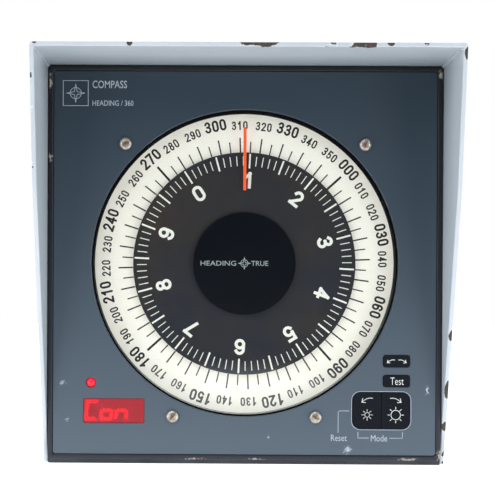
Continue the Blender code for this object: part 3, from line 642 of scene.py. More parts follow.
class Sketch:
    """A piece in the making, in the instrument's millimetres."""

    def __init__(self) -> None:
        """Starts empty."""
        self.mesh = bmesh.new()

    def place(
        self,
        name: str,
        look: Look,
        slot: str,
        replaces: Sequence[str] = (),
        body: str = "housing",
        sharp: float = 32.0,
    ) -> None:
        """Finishes the sketch as a piece that rides on one of the frame's bodies.

        Args:
            name: the piece's name.
            look: its finish.
            slot: the record's material slot that it stands for; not used.
            replaces: CAD nodes that it hides.
            body: the body that it rides on.
            sharp: degrees past which an edge stays sharp.
        """
        mesh = self.mesh
        bmesh.ops.remove_doubles(mesh, verts=mesh.verts, dist=CLOSE)
        bmesh.ops.scale(mesh, verts=mesh.verts, vec=(MM, MM, MM))
        bmesh.ops.translate(mesh, verts=mesh.verts, vec=datum())
        data = bpy.data.meshes.new(name)
        mesh.to_mesh(data)
        mesh.free()
        data.shade_smooth()
        data.set_sharp_from_angle(angle=math.radians(sharp))
        data.materials.append(look.material())
        piece = bpy.data.objects.new(name, data)
        bpy.context.scene.collection.objects.link(piece)
        flat = piece.modifiers.new("flat_faces", "WEIGHTED_NORMAL")
        flat.keep_sharp = True
        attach(piece, body)
        if replaces:
            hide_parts(*replaces)
        LOG.info("%s rides on %s in %s", name, body, look.value.name)

    def add_plate(
        self,
        outer: Outline,
        node: str,
        holes: Sequence[Outline] = (),
        edge: float = 0.25,
        near: float | None = None,
    ) -> None:
        """Adds a flat plate with round edges.

        Args:
            outer: the plate's outline.
            node: the CAD node that gives the depths of its faces.
            holes: outlines of straight holes through it.
            edge: the radius of its edges.
            near: the depth of its front face, where it isn't the node's.
        """
        mesh = self.mesh
        low, high = local_box(node)
        near = low.y if near is None else near
        quarter = [math.radians(angle) for angle in (0, 30, 60, 90)]
        profile = [(edge * (math.sin(a) - 1), near + edge * (1 - math.cos(a))) for a in quarter]
        profile += [(grow, high.y - (depth - near)) for grow, depth in reversed(profile)]
        caps: tuple[list, list] = ([], [])
        for outline, sign in [(outer, 1), *((hole, -1) for hole in holes)]:
            rings = []
            for grow, depth in profile:
                verts = [mesh.verts.new((x, depth, z)) for x, z in outline.points(sign * grow)]
                rings.append([mesh.edges.new(pair) for pair in zip(verts, verts[1:] + verts[:1])])
            for one, other in zip(rings, rings[1:]):
                bmesh.ops.bridge_loops(mesh, edges=one + other)
            caps[0].extend(rings[0])
            caps[1].extend(rings[-1])
        for cap in caps:
            bmesh.ops.triangle_fill(mesh, use_beauty=True, use_dissolve=False, edges=cap)
        bmesh.ops.recalc_face_normals(mesh, faces=mesh.faces)

    def add_turned(self, profile: Sequence[Point], steps: int, x: float = 0.0, z: float = 0.0) -> None:
        """Adds a body turned about an axis along y.

        Args:
            profile: radius and depth points; a ring's are closed, and a solid's start and end on the axis.
            steps: the count of facets round it.
            x: the axis's place.
            z: the axis's place.
        """
        mesh = self.mesh
        before = set(mesh.verts)
        verts = [mesh.verts.new((radius, depth, 0.0)) for radius, depth in profile]
        edges = [mesh.edges.new(pair) for pair in zip(verts, verts[1:])]
        if profile[0][0] > 0:
            edges.append(mesh.edges.new((verts[-1], verts[0])))
        turn = {"cent": (0, 0, 0), "axis": (0, 1, 0), "angle": math.tau, "steps": steps, "use_merge": True}
        bmesh.ops.spin(mesh, geom=verts + edges, **turn)
        made = [vert for vert in mesh.verts if vert not in before]
        bmesh.ops.remove_doubles(mesh, verts=made, dist=CLOSE)
        made = [vert for vert in mesh.verts if vert not in before]
        faces = {face for vert in made for face in vert.link_faces}
        bmesh.ops.recalc_face_normals(mesh, faces=list(faces))
        bmesh.ops.translate(mesh, verts=made, vec=(x, 0.0, z))

    def add_disc(self, node: str, bore: float = 0.0, steps: int = 160) -> None:
        """Adds a flat round plate on the dial's axis, with a CAD node's radius and depths."""
        low, high = local_box(node)
        self.add_turned([(bore, low.y), (high.x, low.y), (high.x, high.y), (bore, high.y)], steps)

    def add_block(self, size: Triple, out: Triple, degrees: float, at: Triple = (0.0, 0.0, 0.0)) -> None:
        """Adds a block: sized, moved out, turned clockwise about the y axis and moved to its place."""
        turned = Matrix.Translation(at) @ Matrix.Rotation(math.radians(degrees), 4, "Y")
        transform = turned @ Matrix.Translation(out) @ Matrix.Diagonal((*size, 1.0))
        bmesh.ops.create_cube(self.mesh, size=1.0, matrix=transform)

    def add_strokes(self, lines: Iterable[Path], width: float, depth: float) -> None:
        """Adds strokes of even width with square ends, as screen print leaves them.

        Args:
            lines: the strokes' middle lines.
            width: the strokes' width.
            depth: the depth of the print's middle.
        """
        curve = self.wire(width / 2, 1)
        for line in lines:
            points = [Vector(point) for point in line]
            closed = (points[0] - points[-1]).length < CLOSE
            if closed:
                points.pop()
            else:
                points[0] += (points[0] - points[1]).normalized() * width / 2
                points[-1] += (points[-1] - points[-2]).normalized() * width / 2
            spline = curve.splines.new("POLY")
            spline.points.add(len(points) - 1)
            spline.use_cyclic_u = closed
            for slot, point in zip(spline.points, points):
                slot.co = (point.x, 0.0, point.y, 1.0)
        thin = Matrix.Diagonal((1.0, 0.05 / width, 1.0, 1.0))
        self.add_data(self.as_mesh(curve), Matrix.Translation((0.0, depth, 0.0)) @ thin)

    def add_word(self, text: str, at: Triple, width: float, height: float, bold: float = 0.0) -> None:
        """Adds a word, fitted to a width and a cap height, with its middle at a place."""
        font = bpy.data.curves.new("word", "FONT")
        font.body = text
        font.size = 10.0
        font.offset = bold
        font.extrude = 1.0
        font.resolution_u = 3
        data = self.as_mesh(font)
        xs = [vert.co.x for vert in data.vertices]
        ys = [vert.co.y for vert in data.vertices]
        middle = Matrix.Translation((-(max(xs) + min(xs)) / 2, -(max(ys) + min(ys)) / 2, 0.0))
        size = Matrix.Diagonal((width / (max(xs) - min(xs)), height / (max(ys) - min(ys)), 0.025, 1.0))
        upright = Matrix.Rotation(math.pi / 2, 4, "X")
        self.add_data(data, Matrix.Translation(at) @ upright @ size @ middle)

    @staticmethod
    def wire(radius: float, resolution: int) -> bpy.types.Curve:
        """An empty curve that is drawn as a round wire with closed ends."""
        curve = bpy.data.curves.new("wire", "CURVE")
        curve.dimensions = "3D"
        curve.bevel_depth = radius
        curve.bevel_resolution = resolution
        curve.use_fill_caps = True
        return curve

    @staticmethod
    def as_mesh(curve: bpy.types.Curve) -> bpy.types.Mesh:
        """Turns a curve or a text to mesh and removes it."""
        holder = bpy.data.objects.new("holder", curve)
        bpy.context.scene.collection.objects.link(holder)
        graph = bpy.context.evaluated_depsgraph_get()
        data = bpy.data.meshes.new_from_object(holder.evaluated_get(graph))
        bpy.data.objects.remove(holder)
        bpy.data.curves.remove(curve)
        return data

    def add_data(self, data: bpy.types.Mesh, transform: Matrix) -> None:
        """Moves a mesh, adds it to the sketch and removes it."""
        data.transform(transform)
        self.mesh.from_mesh(data)
        bpy.data.meshes.remove(data)


# ---------------------------------------------------------------------------------------------- housing


@dataclass
class Shell:
    """The sheet housing: one sheet bent over the top and both cheeks, its weld beads and rear cover."""

    half: float = 98.5
    sheet: float = 2.0
    visor: float = 36.0
    knee: float = 27.0
    knee_rise: float = 33.0
    foot: float = 4.0
    rear: float = 100.0
    bend: float = 1.6
    rim: float = 0.45
    shares: tuple[float, ...] = (0.006, 0.02, 0.05, 0.12, 0.3, 0.6, 1.0)
    bead: float = 0.9
    bead_in: float = 0.15
    bead_points: int = 22
    bead_past: float = 6.0

    def knee_z(self) -> float:
        """The knee's height above the base."""
        return self.knee_rise + self.half

    def slopes(self) -> Point:
        """How fast the front edge runs forward with height, above and below the knee."""
        upper = (self.visor - self.knee) / (self.half - self.knee_rise)
        lower = (self.knee + self.foot) / (self.half + self.knee_rise)
        return upper, lower

    def front(self, z: float) -> float:
        """The front edge's depth at a height above the panel's middle."""
        return max(-self.knee - slope * (z - self.knee_rise) for slope in self.slopes())

    def build(self) -> None:
        """Builds the housing's visible pieces."""
        self.build_sheet()
        self.build_beads()
        self.build_cover()

    def section(self) -> Path:
        """The sheet's outer line from the left foot over the top to the right foot."""
        flat = self.half - self.bend
        left = [(-self.half, (self.half + flat) * step / 96 - self.half) for step in range(96)]
        left += arc(-flat, flat, self.bend, self.bend, 180, 90, 4)
        over = [(3.95 * step - flat, self.half) for step in range(1, 50)]
        return left + over + [(-x, z) for x, z in reversed(left)]

    def build_sheet(self) -> None:
        """Extrudes the section to the rear, gives it its thickness and rounds its rim."""
        sketch = Sketch()
        mesh = sketch.mesh
        verts = [mesh.verts.new((x, self.front(z), z)) for x, z in self.section()]
        edges = [mesh.edges.new(pair) for pair in zip(verts, verts[1:])]
        for share in self.shares:
            made = bmesh.ops.extrude_edge_only(mesh, edges=edges)["geom"]
            edges = [item for item in made if isinstance(item, bmesh.types.BMEdge)]
            for vert in (item for item in made if isinstance(item, bmesh.types.BMVert)):
                start = self.front(vert.co.z)
                vert.co.y = start + (self.rear - start) * share
        bmesh.ops.recalc_face_normals(mesh, faces=mesh.faces)
        outward = next(face for face in mesh.faces if face.calc_center_median().z > self.half - 0.01)
        if outward.normal.z < 0:
            bmesh.ops.reverse_faces(mesh, faces=mesh.faces)
        bmesh.ops.solidify(mesh, geom=mesh.faces[:], thickness=self.sheet)
        rims = [edge for edge in mesh.edges if self.is_rim(edge)]
        rounding = {"offset_type": "OFFSET", "affect": "EDGES", "segments": 3, "profile": 0.5, "material": -1}
        bmesh.ops.bevel(mesh, geom=rims, offset=self.rim, **rounding)
        sketch.place("housing_sheet", Look.HOUSING, "housing_paint", ["housing_shell"])

    def is_rim(self, edge: bmesh.types.BMEdge) -> bool:
        """Whether an edge of the thickened sheet turns a square corner round its front, feet or rear."""
        if len(edge.link_faces) != 2 or edge.calc_face_angle() < math.radians(60):
            return False
        high = max(vert.co.z for vert in edge.verts)
        inner = all(abs(vert.co.x) < self.half - 1.0 and vert.co.z < self.half - 1.0 for vert in edge.verts)
        ahead = all(vert.co.y < self.front(vert.co.z) + 0.5 for vert in edge.verts)
        return ahead or (not inner and high > -self.half + 1.0 and edge.verts[0].co.y > self.rear - 0.5)

    def build_beads(self) -> None:
        """The weld beads ground back along the visor's two inner corners."""
        sketch = Sketch()
        rng = random.Random(7)
        corner = self.half - self.sheet - self.bead_in
        for side in (-1, 1):
            curve = Sketch.wire(self.bead, 3)
            spline = curve.splines.new("POLY")
            spline.points.add(self.bead_points - 1)
            for index, point in enumerate(spline.points):
                run = (self.visor + self.bead_past) * index / (self.bead_points - 1)
                point.co = (side * corner, self.bead - self.visor + run, corner, 1.0)
                point.radius = 1.0 + rng.uniform(-0.12, 0.12)
            sketch.add_data(Sketch.as_mesh(curve), Matrix())
        bmesh.ops.recalc_face_normals(sketch.mesh, faces=sketch.mesh.faces)
        sketch.place("visor_weld_beads", Look.HOUSING, "housing_paint", sharp=80.0)

    @staticmethod
    def build_cover() -> None:
        """The rear cover with its round edges and the holes for its fittings."""
        fittings = RearFittings()
        holes = [Outline.circle(x, z, 2.2, 8) for x, z in fittings.screws()]
        holes += [Outline.circle(x, fittings.gland_z, 8.3, 12) for x in fittings.gland_xs]
        holes.append(Outline.circle(*fittings.earth, 3.3, 8))
        sketch = Sketch()
        sketch.add_plate(Outline.of_node("rear_cover", 2.0), "rear_cover", holes, edge=0.6)
        sketch.place("rear_cover_plate", Look.COVER, "housing_paint", ["rear_cover"])


@dataclass
class RearFittings:
    """What stands out of the rear cover: its screws, the two cable glands and the earth stud."""

    screw: float = 91.0
    gland_xs: Point = (-30.0, 30.0)
    gland_z: float = -60.0
    earth: Point = (70.0, -70.0)
    seat: float = 102.6
    ribs: int = 16
    threads: int = 12

    def screws(self) -> Path:
        """The middles of the cover's four screws."""
        return [(side * self.screw, up * self.screw) for side, up in ((-1, 1), (1, 1), (-1, -1), (1, -1))]

    def build(self) -> None:
        """Builds every rear fitting."""
        for index, (x, z) in enumerate(self.screws(), 1):
            self.build_screw(index, x, z)
        for index, x in enumerate(self.gland_xs, 1):
            self.build_gland(index, x)
        self.build_earth()

    def build_screw(self, index: int, x: float, z: float) -> None:
        """A pan-head screw with a cross recess."""
        top = self.seat + 2.5
        crown = [(r, top - 1.1 * (r / 4.0) ** 3) for r in (4.0, 3.7, 3.2, 2.4, 1.4)]
        shank = [(0.0, 96.0), (1.9, 96.0), (1.9, self.seat), (4.0, self.seat)]
        screw = Sketch()
        screw.add_turned([*shank, *crown, (0.0, top)], 32, x, z)
        screw.place(f"rear_screw_{index}", Look.SCREW, "screw_nickel", [f"rear_cover_screw_{index}"])
        cross = Sketch()
        for turn in (40 + 20 * index, 130 + 20 * index):
            cross.add_block((4.2, 0.12, 0.8), (0.0, 0.0, 0.0), turn, (x, top, z))
        cross.place(f"rear_screw_recess_{index}", Look.RUST, "screw_nickel")

    def build_gland(self, index: int, x: float) -> None:
        """A nylon gland: hexagon base, ribbed dome nut and a rubber sleeve."""
        seat = self.seat
        hexagon = [(4.5, 94.0), (8.0, 94.0), (8.0, seat), (12.2, seat), (12.5, seat + 0.5)]
        hexagon += [(12.5, seat + 4.5), (12.1, seat + 5.0), (4.5, seat + 5.0)]
        dome = [(4.6, seat + 5.0), (10.2, seat + 5.0), (10.5, seat + 6.0), (10.5, 117.0)]
        dome += [(10.0, 120.0), (8.9, 122.6), (7.6, 123.8), (5.4, 124.0), (4.6, 123.4)]
        gland = Sketch()
        gland.add_turned(hexagon, 6, x, self.gland_z)
        gland.add_turned(dome, 48, x, self.gland_z)
        for rib in range(self.ribs):
            turn = 360 * rib / self.ribs
            gland.add_block((1.2, 7.5, 0.8), (0.0, 113.0, 10.55), turn, (x, 0.0, self.gland_z))
        gland.place(f"cable_gland_body_{index}", Look.NYLON, "gland_nylon", [f"cable_gland_{index}"])
        sleeve = Sketch()
        sleeve.add_turned([(3.2, 110.0), (4.5, 110.0), (4.5, 123.0), (3.4, 122.4)], 32, x, self.gland_z)
        sleeve.place(f"cable_gland_seal_{index}", Look.RUBBER, "gasket_rubber")

    def build_earth(self) -> None:
        """The brass earth stud with its thread, washer and nut."""
        thread = [(0.0, 96.0), (2.7, 96.0)]
        for turn in range(self.threads):
            start = 107.8 + 0.5 * turn
            thread += [(2.7, start), (3.0, start + 0.25)]
        thread += [(2.6, 114.0), (0.0, 114.0)]
        base = self.seat + 1.0
        washer = [(3.1, self.seat), (6.4, self.seat), (6.4, base), (3.1, base)]
        nut = [(3.0, base), (5.5, base), (5.8, base + 0.4), (5.8, base + 3.6), (5.4, base + 4.0)]
        nut.append((3.0, base + 4.0))
        stud = Sketch()
        for profile, steps in ((thread, 24), (washer, 32), (nut, 6)):
            stud.add_turned(profile, steps, *self.earth)
        stud.place("earth_stud_with_nut", Look.BRASS, "wheel_brass", ["earth_stud"])


# ---------------------------------------------------------------------------------------------- controls


@dataclass(frozen=True)
class Key:
    """A key: its CAD node and body, its cap's height and reach past its box, and its corners' radii."""

    node: str
    body: str
    height: float = 5.7
    reach: float = 0.0
    right: float = 1.2
    left: float = 1.2

    def outline(self) -> Outline:
        """Its cap's front outline, without the skirt that its CAD box takes in."""
        box = Outline.of_node(self.node)
        width = box.width + 2 * abs(self.reach)
        return Outline(box.x + self.reach, box.z, width, self.height, self.right, left=self.left)


@dataclass
class Keypad:
    """Four silicone keys and their legends."""

    proud: float = -0.5
    print_depth: float = -0.51
    rotate: Key = Key("key_rotate", "rotate_key")
    test: Key = Key("key_test", "test_key")
    dim: Key = Key("key_dim", "dim_key", 17.9, 0.06, 1.2, 3.9)
    bright: Key = Key("key_bright", "bright_key", 17.9, -0.06, 3.9, 1.2)

    def build(self) -> None:
        """Builds each key with its own legend."""
        self.build_key(self.rotate, self.rotate_legend)
        self.build_key(self.test, self.test_legend)
        self.build_key(self.dim, self.dim_legend)
        self.build_key(self.bright, self.bright_legend)

    def build_key(self, key: Key, legend: Callable[[Sketch, float, float], None]) -> None:
        """A key's cap and its print, which legend adds about the key's middle."""
        outline = key.outline()
        cap = Sketch()
        cap.add_plate(outline, key.node, edge=0.1, near=self.proud)
        cap.place(f"{key.node}_cap", Look.KEY, "key_rubber", [key.node], key.body)
        marks = Sketch()
        legend(marks, outline.x, outline.z)
        marks.place(f"{key.node}_legend", Look.INK_WHITE, "card_white", (), key.body)

    def arrow(self, marks: Sketch, x: float, z: float, reach: float, side: int, width: float) -> None:
        """Adds a shallow curved arrow that falls away to one side."""
        steps = (0, 0.25, 0.5, 0.75, 1)
        line = [(x + side * reach * t, z + reach * (0.10 + 0.25 * t - 0.62 * t * t)) for t in steps]
        tip_x, tip_z = line[-1]
        head = reach * 0.34
        barbs = ((tip_x - side * head * 0.25, tip_z + head), (tip_x - side * head, tip_z - head * 0.1))
        marks.add_strokes([line, *([barb, line[-1]] for barb in barbs)], width, self.print_depth)

    def sun(self, marks: Sketch, x: float, z: float, radius: float, ray: float, width: float) -> None:
        """Adds a ring with eight rays."""
        lines = [arc(x, z, radius, radius, 0, 360, 28)]
        for step in range(8):
            turn = math.radians(45 * step)
            ends = (radius + 0.6, radius + 0.6 + ray)
            lines.append([(x + reach * math.cos(turn), z + reach * math.sin(turn)) for reach in ends])
        marks.add_strokes(lines, width, self.print_depth)

    def rotate_legend(self, marks: Sketch, x: float, z: float) -> None:
        """Two arrows that part."""
        for side in (-1, 1):
            self.arrow(marks, x + side, z + 0.3, 3.6, side, 0.34)

    def test_legend(self, marks: Sketch, x: float, z: float) -> None:
        """The word for the lamp test."""
        marks.add_word("Test", (x + 0.2, self.print_depth, z), 6.5, 3.6, -0.1)

    def dim_legend(self, marks: Sketch, x: float, z: float) -> None:
        """An arrow to the left over a small sun."""
        self.arrow(marks, x + 2.6, z + 5.6, 5.2, -1, 0.32)
        self.sun(marks, x, z - 2.0, 1.15, 0.85, 0.25)

    def bright_legend(self, marks: Sketch, x: float, z: float) -> None:
        """An arrow to the right over a large sun."""
        self.arrow(marks, x - 2.6, z + 5.6, 5.2, 1, 0.32)
        self.sun(marks, x, z - 2.0, 2.3, 0.9, 0.32)


@dataclass
class Readout:
    """The red four-figure display behind its filter, and the alarm lamp."""

    digit_height: float = 8.4
    digit_width: float = 4.9
    pitch: float = 7.3
    segment: float = 1.15
    bar_depth: float = 1.92
    spill_depth: float = 2.02
    lean: float = 0.1
    lit: tuple[str, ...] = ("adef", "cdeg", "ceg", "")
    lens: float = 2.25

    def build(self) -> None:
        """Builds the filter, the figures and the lamp."""
        pane = Sketch()
        pane.add_plate(Outline.of_node("display_window", 0.5), "display_window", edge=0.2)
        pane.place("display_filter", Look.FILTER, "display_red", ["display_window"])
        self.build_figures()
        self.build_lamp()

    def build_figures(self) -> None:
        """Seven bars for each figure, some lit."""
        window = Outline.of_node("display_window")
        u, v = self.digit_width / 2, self.digit_height / 2
        gap = self.segment * 0.6
        shape = {
            "a": [(gap - u, v), (u - gap, v)],
            "b": [(u, v - gap), (u, gap)],
            "c": [(u, -gap), (u, gap - v)],
            "d": [(gap - u, -v), (u - gap, -v)],
            "e": [(-u, -gap), (-u, gap - v)],
            "f": [(-u, v - gap), (-u, gap)],
            "g": [(gap - u, 0.0), (u - gap, 0.0)],
        }
        lit, spill, dark = Sketch(), Sketch(), Sketch()
        for place, letters in enumerate(self.lit):
            middle = window.x + (place - 1.5) * self.pitch
            for letter, line in shape.items():
                leaning = [(middle + a + self.lean * b, window.z + b) for a, b in line]
                bars = lit if letter in letters else dark
                bars.add_strokes([leaning], self.segment, self.bar_depth)
                if letter in letters:
                    spill.add_strokes([leaning], self.segment * 2.2, self.spill_depth)
        lit.place("display_bars_lit", Look.LIT, "led_red")
        spill.place("display_bars_spill", Look.HALO, "led_red")
        dark.place("display_bars_dark", Look.UNLIT, "display_red")

    def build_lamp(self) -> None:
        """The lamp's domed lens."""
        seat = Outline.of_node("alarm_led")
        back = local_box("alarm_led")[1].y
        dome = [(radius, 0.9 - depth) for radius, depth in reversed(arc(0, 0, self.lens, 1.9, 0, 90, 8))]
        lens = Sketch()
        lens.add_turned([*dome, (self.lens, back), (0.0, back)], 40, seat.x, seat.z)
        lens.place("alarm_lamp_lens", Look.LED, "led_red", ["alarm_led"])


# ---------------------------------------------------------------------------------------------- panel


@dataclass
class Panel:
    """The black frame, the slate panel with its cut-outs, its screws and its printed legends.

    Each screw has its slot's angle. Each word has its middle, its width, its height and its boldness.
    """

    frame: float = 192.0
    plate: float = 187.0
    aperture: float = 75.1
    print_depth: float = -0.02
    screws: tuple[Triple, ...] = (
        (-58.4, 58.0, -20),
        (58.4, 58.0, -65),
        (-34.9, -75.0, -48),
        (34.9, -75.0, 25),
    )
    field: Outline = Outline(67.0, -71.6, 28.1, 17.9, 3.9)
    badge: Outline = Outline(-82.9, 82.6, 12.2, 12.2)
    badge_words: tuple = (
        ("COMPASS", -66.3, 86.9, 16.8, 3.7, 0.05),
        ("HEADING / 360", -64.7, 77.8, 20.0, 2.6, 0.0),
    )
    legend_words: tuple = (("Reset", 46.4, -85.0, 7.8, 3.1, 0.0), ("Mode", 66.0, -85.1, 8.0, 3.1, 0.0))
    brackets: tuple = (
        ((51.2, -71.8), (46.6, -71.8), (46.0, -72.4), (46.0, -82.4)),
        ((55.7, -82.2), (55.7, -85.0), (60.8, -85.0)),
        ((71.3, -85.0), (77.4, -85.0), (77.4, -82.2)),
    )

    def build(self) -> None:
        """Builds the frame, the panel, its screws and legends."""
        self.build_frame()
        self.build_plate()
        for index, (x, z, turn) in enumerate(self.screws, 1):
            self.build_screw(index, x, z, turn)
        self.build_badge()
        self.build_legends()

    def build_frame(self) -> None:
        """The die-cast frame round the panel."""
        outer = Outline(0.0, 0.0, self.frame, self.frame, 1.6)
        hole = Outline(0.0, 0.0, self.plate + 0.3, self.plate + 0.3, 1.3)
        casting = Sketch()
        casting.add_plate(outer, "front_frame", [hole], edge=0.5)
        casting.place("front_frame_casting", Look.FRAME, "frame_black", ["front_frame"])

    def build_plate(self) -> None:
        """The panel plate with the window's opening, the display's, the lamp's and the keys'."""
        keys = Keypad()
        window = Outline.of_node("display_window", 0.6)
        held = (window, keys.rotate.outline(), keys.test.outline(), self.field)
        lamp = Outline.of_node("alarm_led")
        holes = [Outline.circle(0.0, 0.0, self.aperture, 40), *(piece.eased() for piece in held)]
        holes.append(Outline.circle(lamp.x, lamp.z, 2.45, 8))
        plate = Sketch()
        plate.add_plate(Outline(0.0, 0.0, self.plate, self.plate, 1.2), "front_panel", holes, edge=0.22)
        plate.place("front_panel_plate", Look.PANEL, "panel_slate", ["front_panel"])

    @staticmethod
    def build_screw(index: int, x: float, z: float, turn: float) -> None:
        """A pan-head screw with a worn slot, and the rust that sits in it."""
        crown = [(0.0, -1.9), (1.4, -1.86), (2.3, -1.62), (2.85, -1.2), (3.1, -0.7), (3.1, -0.02)]
        head = Sketch()
        head.add_turned([*crown, (1.25, -0.02), (1.25, 15.0), (0.0, 15.0)], 40, x, z)
        head.place(f"panel_screw_head_{index}", Look.SCREW, "screw_nickel", [f"panel_screw_{index}"])
        slot = Sketch()
        slot.add_block((3.4, 0.3, 0.75), (0.0, 0.0, 0.0), turn, (x, -1.80, z))
        crumb = Matrix.Translation((x - 0.2, -1.82, z + 0.15)) @ Matrix.Diagonal((1.0, 0.25, 1.0, 1.0))
        bmesh.ops.create_icosphere(slot.mesh, subdivisions=2, radius=0.75, matrix=crumb)
        slot.place(f"panel_screw_slot_{index}", Look.RUST, "screw_nickel")

    def build_badge(self) -> None:
        """A framed four-point star and two plain words where a maker would sign."""
        marks = Sketch()
        x, z, half = self.badge.x, self.badge.z, self.badge.width / 2
        corners = [(x - half, z - half), (x + half, z - half), (x + half, z + half), (x - half, z + half)]
        box = [list(side) for side in zip(corners, corners[1:] + corners[:1])]
        marks.add_strokes(box, 0.30, self.print_depth)
        marks.add_strokes(star_lines(x, z, 4.4), 0.32, self.print_depth)
        self.add_words(marks, self.badge_words)
        marks.place("panel_badge_print", Look.INK_LEGEND, "card_white")

    def build_legends(self) -> None:
        """The line round the key field, and the words and brackets beside it."""
        marks = Sketch()
        ring = self.field.points(0.42)
        marks.add_strokes([ring + ring[:1]], 0.34, self.print_depth)
        marks.add_strokes(self.brackets, 0.35, self.print_depth)
        self.add_words(marks, self.legend_words)
        marks.place("panel_legend_print", Look.INK_LEGEND, "card_white")

    def add_words(self, marks: Sketch, words: tuple) -> None:
        """Adds words at the print's depth."""
        for text, x, z, width, height, bold in words:
            marks.add_word(text, (x, self.print_depth, z), width, height, bold)


# ---------------------------------------------------------------------------------------------- dials


@dataclass
class Dial:
    """The window, the two turning cards with their figures, and the lines that stand still before them.

    A coarse tick's length and width are for fives, tens and quarters in turn. A fine tick's inner radius,
    outer radius and width are for units and then fives.
    """

    heading: float = 312.15
    fine_heading: float = 33.2
    tick_depth: float = 0.08
    coarse_tick_in: float = 55.6
    coarse_tick_out: Triple = (60.95, 62.84, 64.9)
    coarse_tick_width: Triple = (0.6, 0.7, 1.1)
    small_radius: float = 69.0
    large_radius: float = 70.1
    small: Lettering = Lettering(4.45, 2.36, 0.82, 0.50)
    large: Lettering = Lettering(5.9, 3.40, 1.18, 0.42)
    fine_ticks: tuple[Triple, Triple] = ((48.6, 53.4, 0.42), (47.4, 54.6, 0.85))
    fine_radius: float = 41.5
    fine: Lettering = Lettering(8.2, 5.6, 1.75)

    def build(self) -> None:
        """Builds the cards, their print, the fixed marks and the glass."""
        self.build_aperture()
        self.build_coarse()
        self.build_fine()
        self.build_fixed()
        pane = Sketch()
        pane.add_disc("dial_window")
        pane.place("window_pane", Look.GLASS, "window_glass", ["dial_window"])

    @staticmethod
    def build_aperture() -> None:
        """The black wall between the panel and the cards, before and behind the glass."""
        seal = Sketch()
        seal.add_turned([(74.5, 3.05), (79.6, 3.05), (79.6, 4.1), (74.5, 4.1)], 160)
        seal.place("window_seal_lip", Look.APERTURE, "gasket_rubber", ["window_seal"])
        clamp = Sketch()
        clamp.add_turned([(74.5, 6.3), (79.6, 6.3), (79.6, 10.4), (74.7, 10.4), (74.5, 10.2)], 160)
        clamp.place("aperture_wall", Look.CLAMP, "frame_black", ["aperture_ring"])

    def build_coarse(self) -> None:
        """The white card, its ticks and its numbers."""
        card = Sketch()
        card.add_disc("coarse_dial", 11.3, 180)
        card.place("coarse_card", Look.CARD, "card_white", ["coarse_dial"], "coarse_card")
        face = local_box("coarse_dial")[0].y
        ticks = Sketch()
        for degrees in range(0, 360, 5):
            kind = (degrees % 10 == 0) + (degrees % 90 == 0)
            length = self.coarse_tick_out[kind] - self.coarse_tick_in
            size = (self.coarse_tick_width[kind], self.tick_depth, length)
            ticks.add_block(size, (0.0, face, self.coarse_tick_in + length / 2), degrees - self.heading)
        ticks.place("coarse_card_ticks", Look.INK_BLACK, "card_black", (), "coarse_card")
        numbers = Sketch()
        for degrees in range(0, 360, 10):
            thirty = degrees % 30 == 0
            letters, radius = (self.large, self.large_radius) if thirty else (self.small, self.small_radius)
            lines = letters.lines(f"{degrees:03d}", radius, degrees - self.heading)
            numbers.add_strokes(lines, letters.stroke, face)
        numbers.place("coarse_card_numbers", Look.INK_BLACK, "card_black", (), "coarse_card")

    def build_fine(self) -> None:
        """The black card, its hundred ticks and its ten figures."""
        card = Sketch()
        card.add_disc("fine_dial", 3.3)
        card.place("fine_card", Look.CARD_BLACK, "card_black", ["fine_dial"], "fine_card")
        face = local_box("fine_dial")[0].y
        marks = Sketch()
        for step in range(100):
            inner, outer, width = self.fine_ticks[step % 5 == 0]
            size = (width, self.tick_depth, outer - inner)
            marks.add_block(size, (0.0, face, (inner + outer) / 2), 3.6 * step - self.fine_heading)
        for digit in range(10):
            lines = self.fine.lines(str(digit), self.fine_radius, 36 * digit - self.fine_heading)
            marks.add_strokes(lines, self.fine.stroke, face)
        marks.place("fine_card_marks", Look.INK_LIT, "card_white", (), "fine_card")

    @staticmethod
    def build_fixed() -> None:
        """The navy disc with its words, and the orange lubber line."""
        low, high = local_box("centre_disc")
        edge = 0.1
        profile = [(0.0, low.y), (high.x - edge, low.y), (high.x, low.y + edge), (high.x, high.y)]
        disc = Sketch()
        disc.add_turned([*profile, (0.0, high.y)], 120)
        disc.place("centre_disc_print", Look.DISC, "disc_navy", ["centre_disc"])
        words = Sketch()
        words.add_word("HEADING", (-12.9, low.y, 0.1), 17.6, 2.4)
        words.add_word("TRUE", (7.6, low.y, 0.1), 8.4, 2.4)
        words.add_strokes(star_lines(0.0, 0.1, 2.9), 0.28, low.y)
        words.place("centre_disc_words", Look.INK_LEGEND, "card_white")
        bar = Sketch()
        bar.add_plate(Outline.of_node("lubber_line", 0.2), "lubber_line", edge=0.1)
        bar.place("lubber_line_bar", Look.LUBBER, "lubber_orange", ["lubber_line"])


# ---------------------------------------------------------------------------------------------- the rest


# Finishes for the CAD pieces whose own shape stays, by the record's slots.
SLOT_LOOKS = {
    "housing_paint": Look.HOUSING,
    "tray_paint": Look.TRAY,
    "frame_black": Look.APERTURE,
    "panel_slate": Look.PANEL,
    "gasket_rubber": Look.RUBBER,
    "window_glass": Look.GLASS,
    "card_white": Look.CARD,
    "card_black": Look.CARD_BLACK,
    "disc_navy": Look.DISC,
    "lubber_orange": Look.LUBBER,
    "display_red": Look.FILTER,
    "led_red": Look.LED,
    "module_black": Look.MOULDING,
    "board_green": Look.BOARD,
    "key_rubber": Look.KEY,
    "screw_nickel": Look.SCREW,
    "plate_aluminium": Look.ALUMINIUM,
    "shaft_steel": Look.STEEL,
    "wheel_brass": Look.BRASS,
    "diffuser_white": Look.OPAL,
    "gland_nylon": Look.NYLON,
}


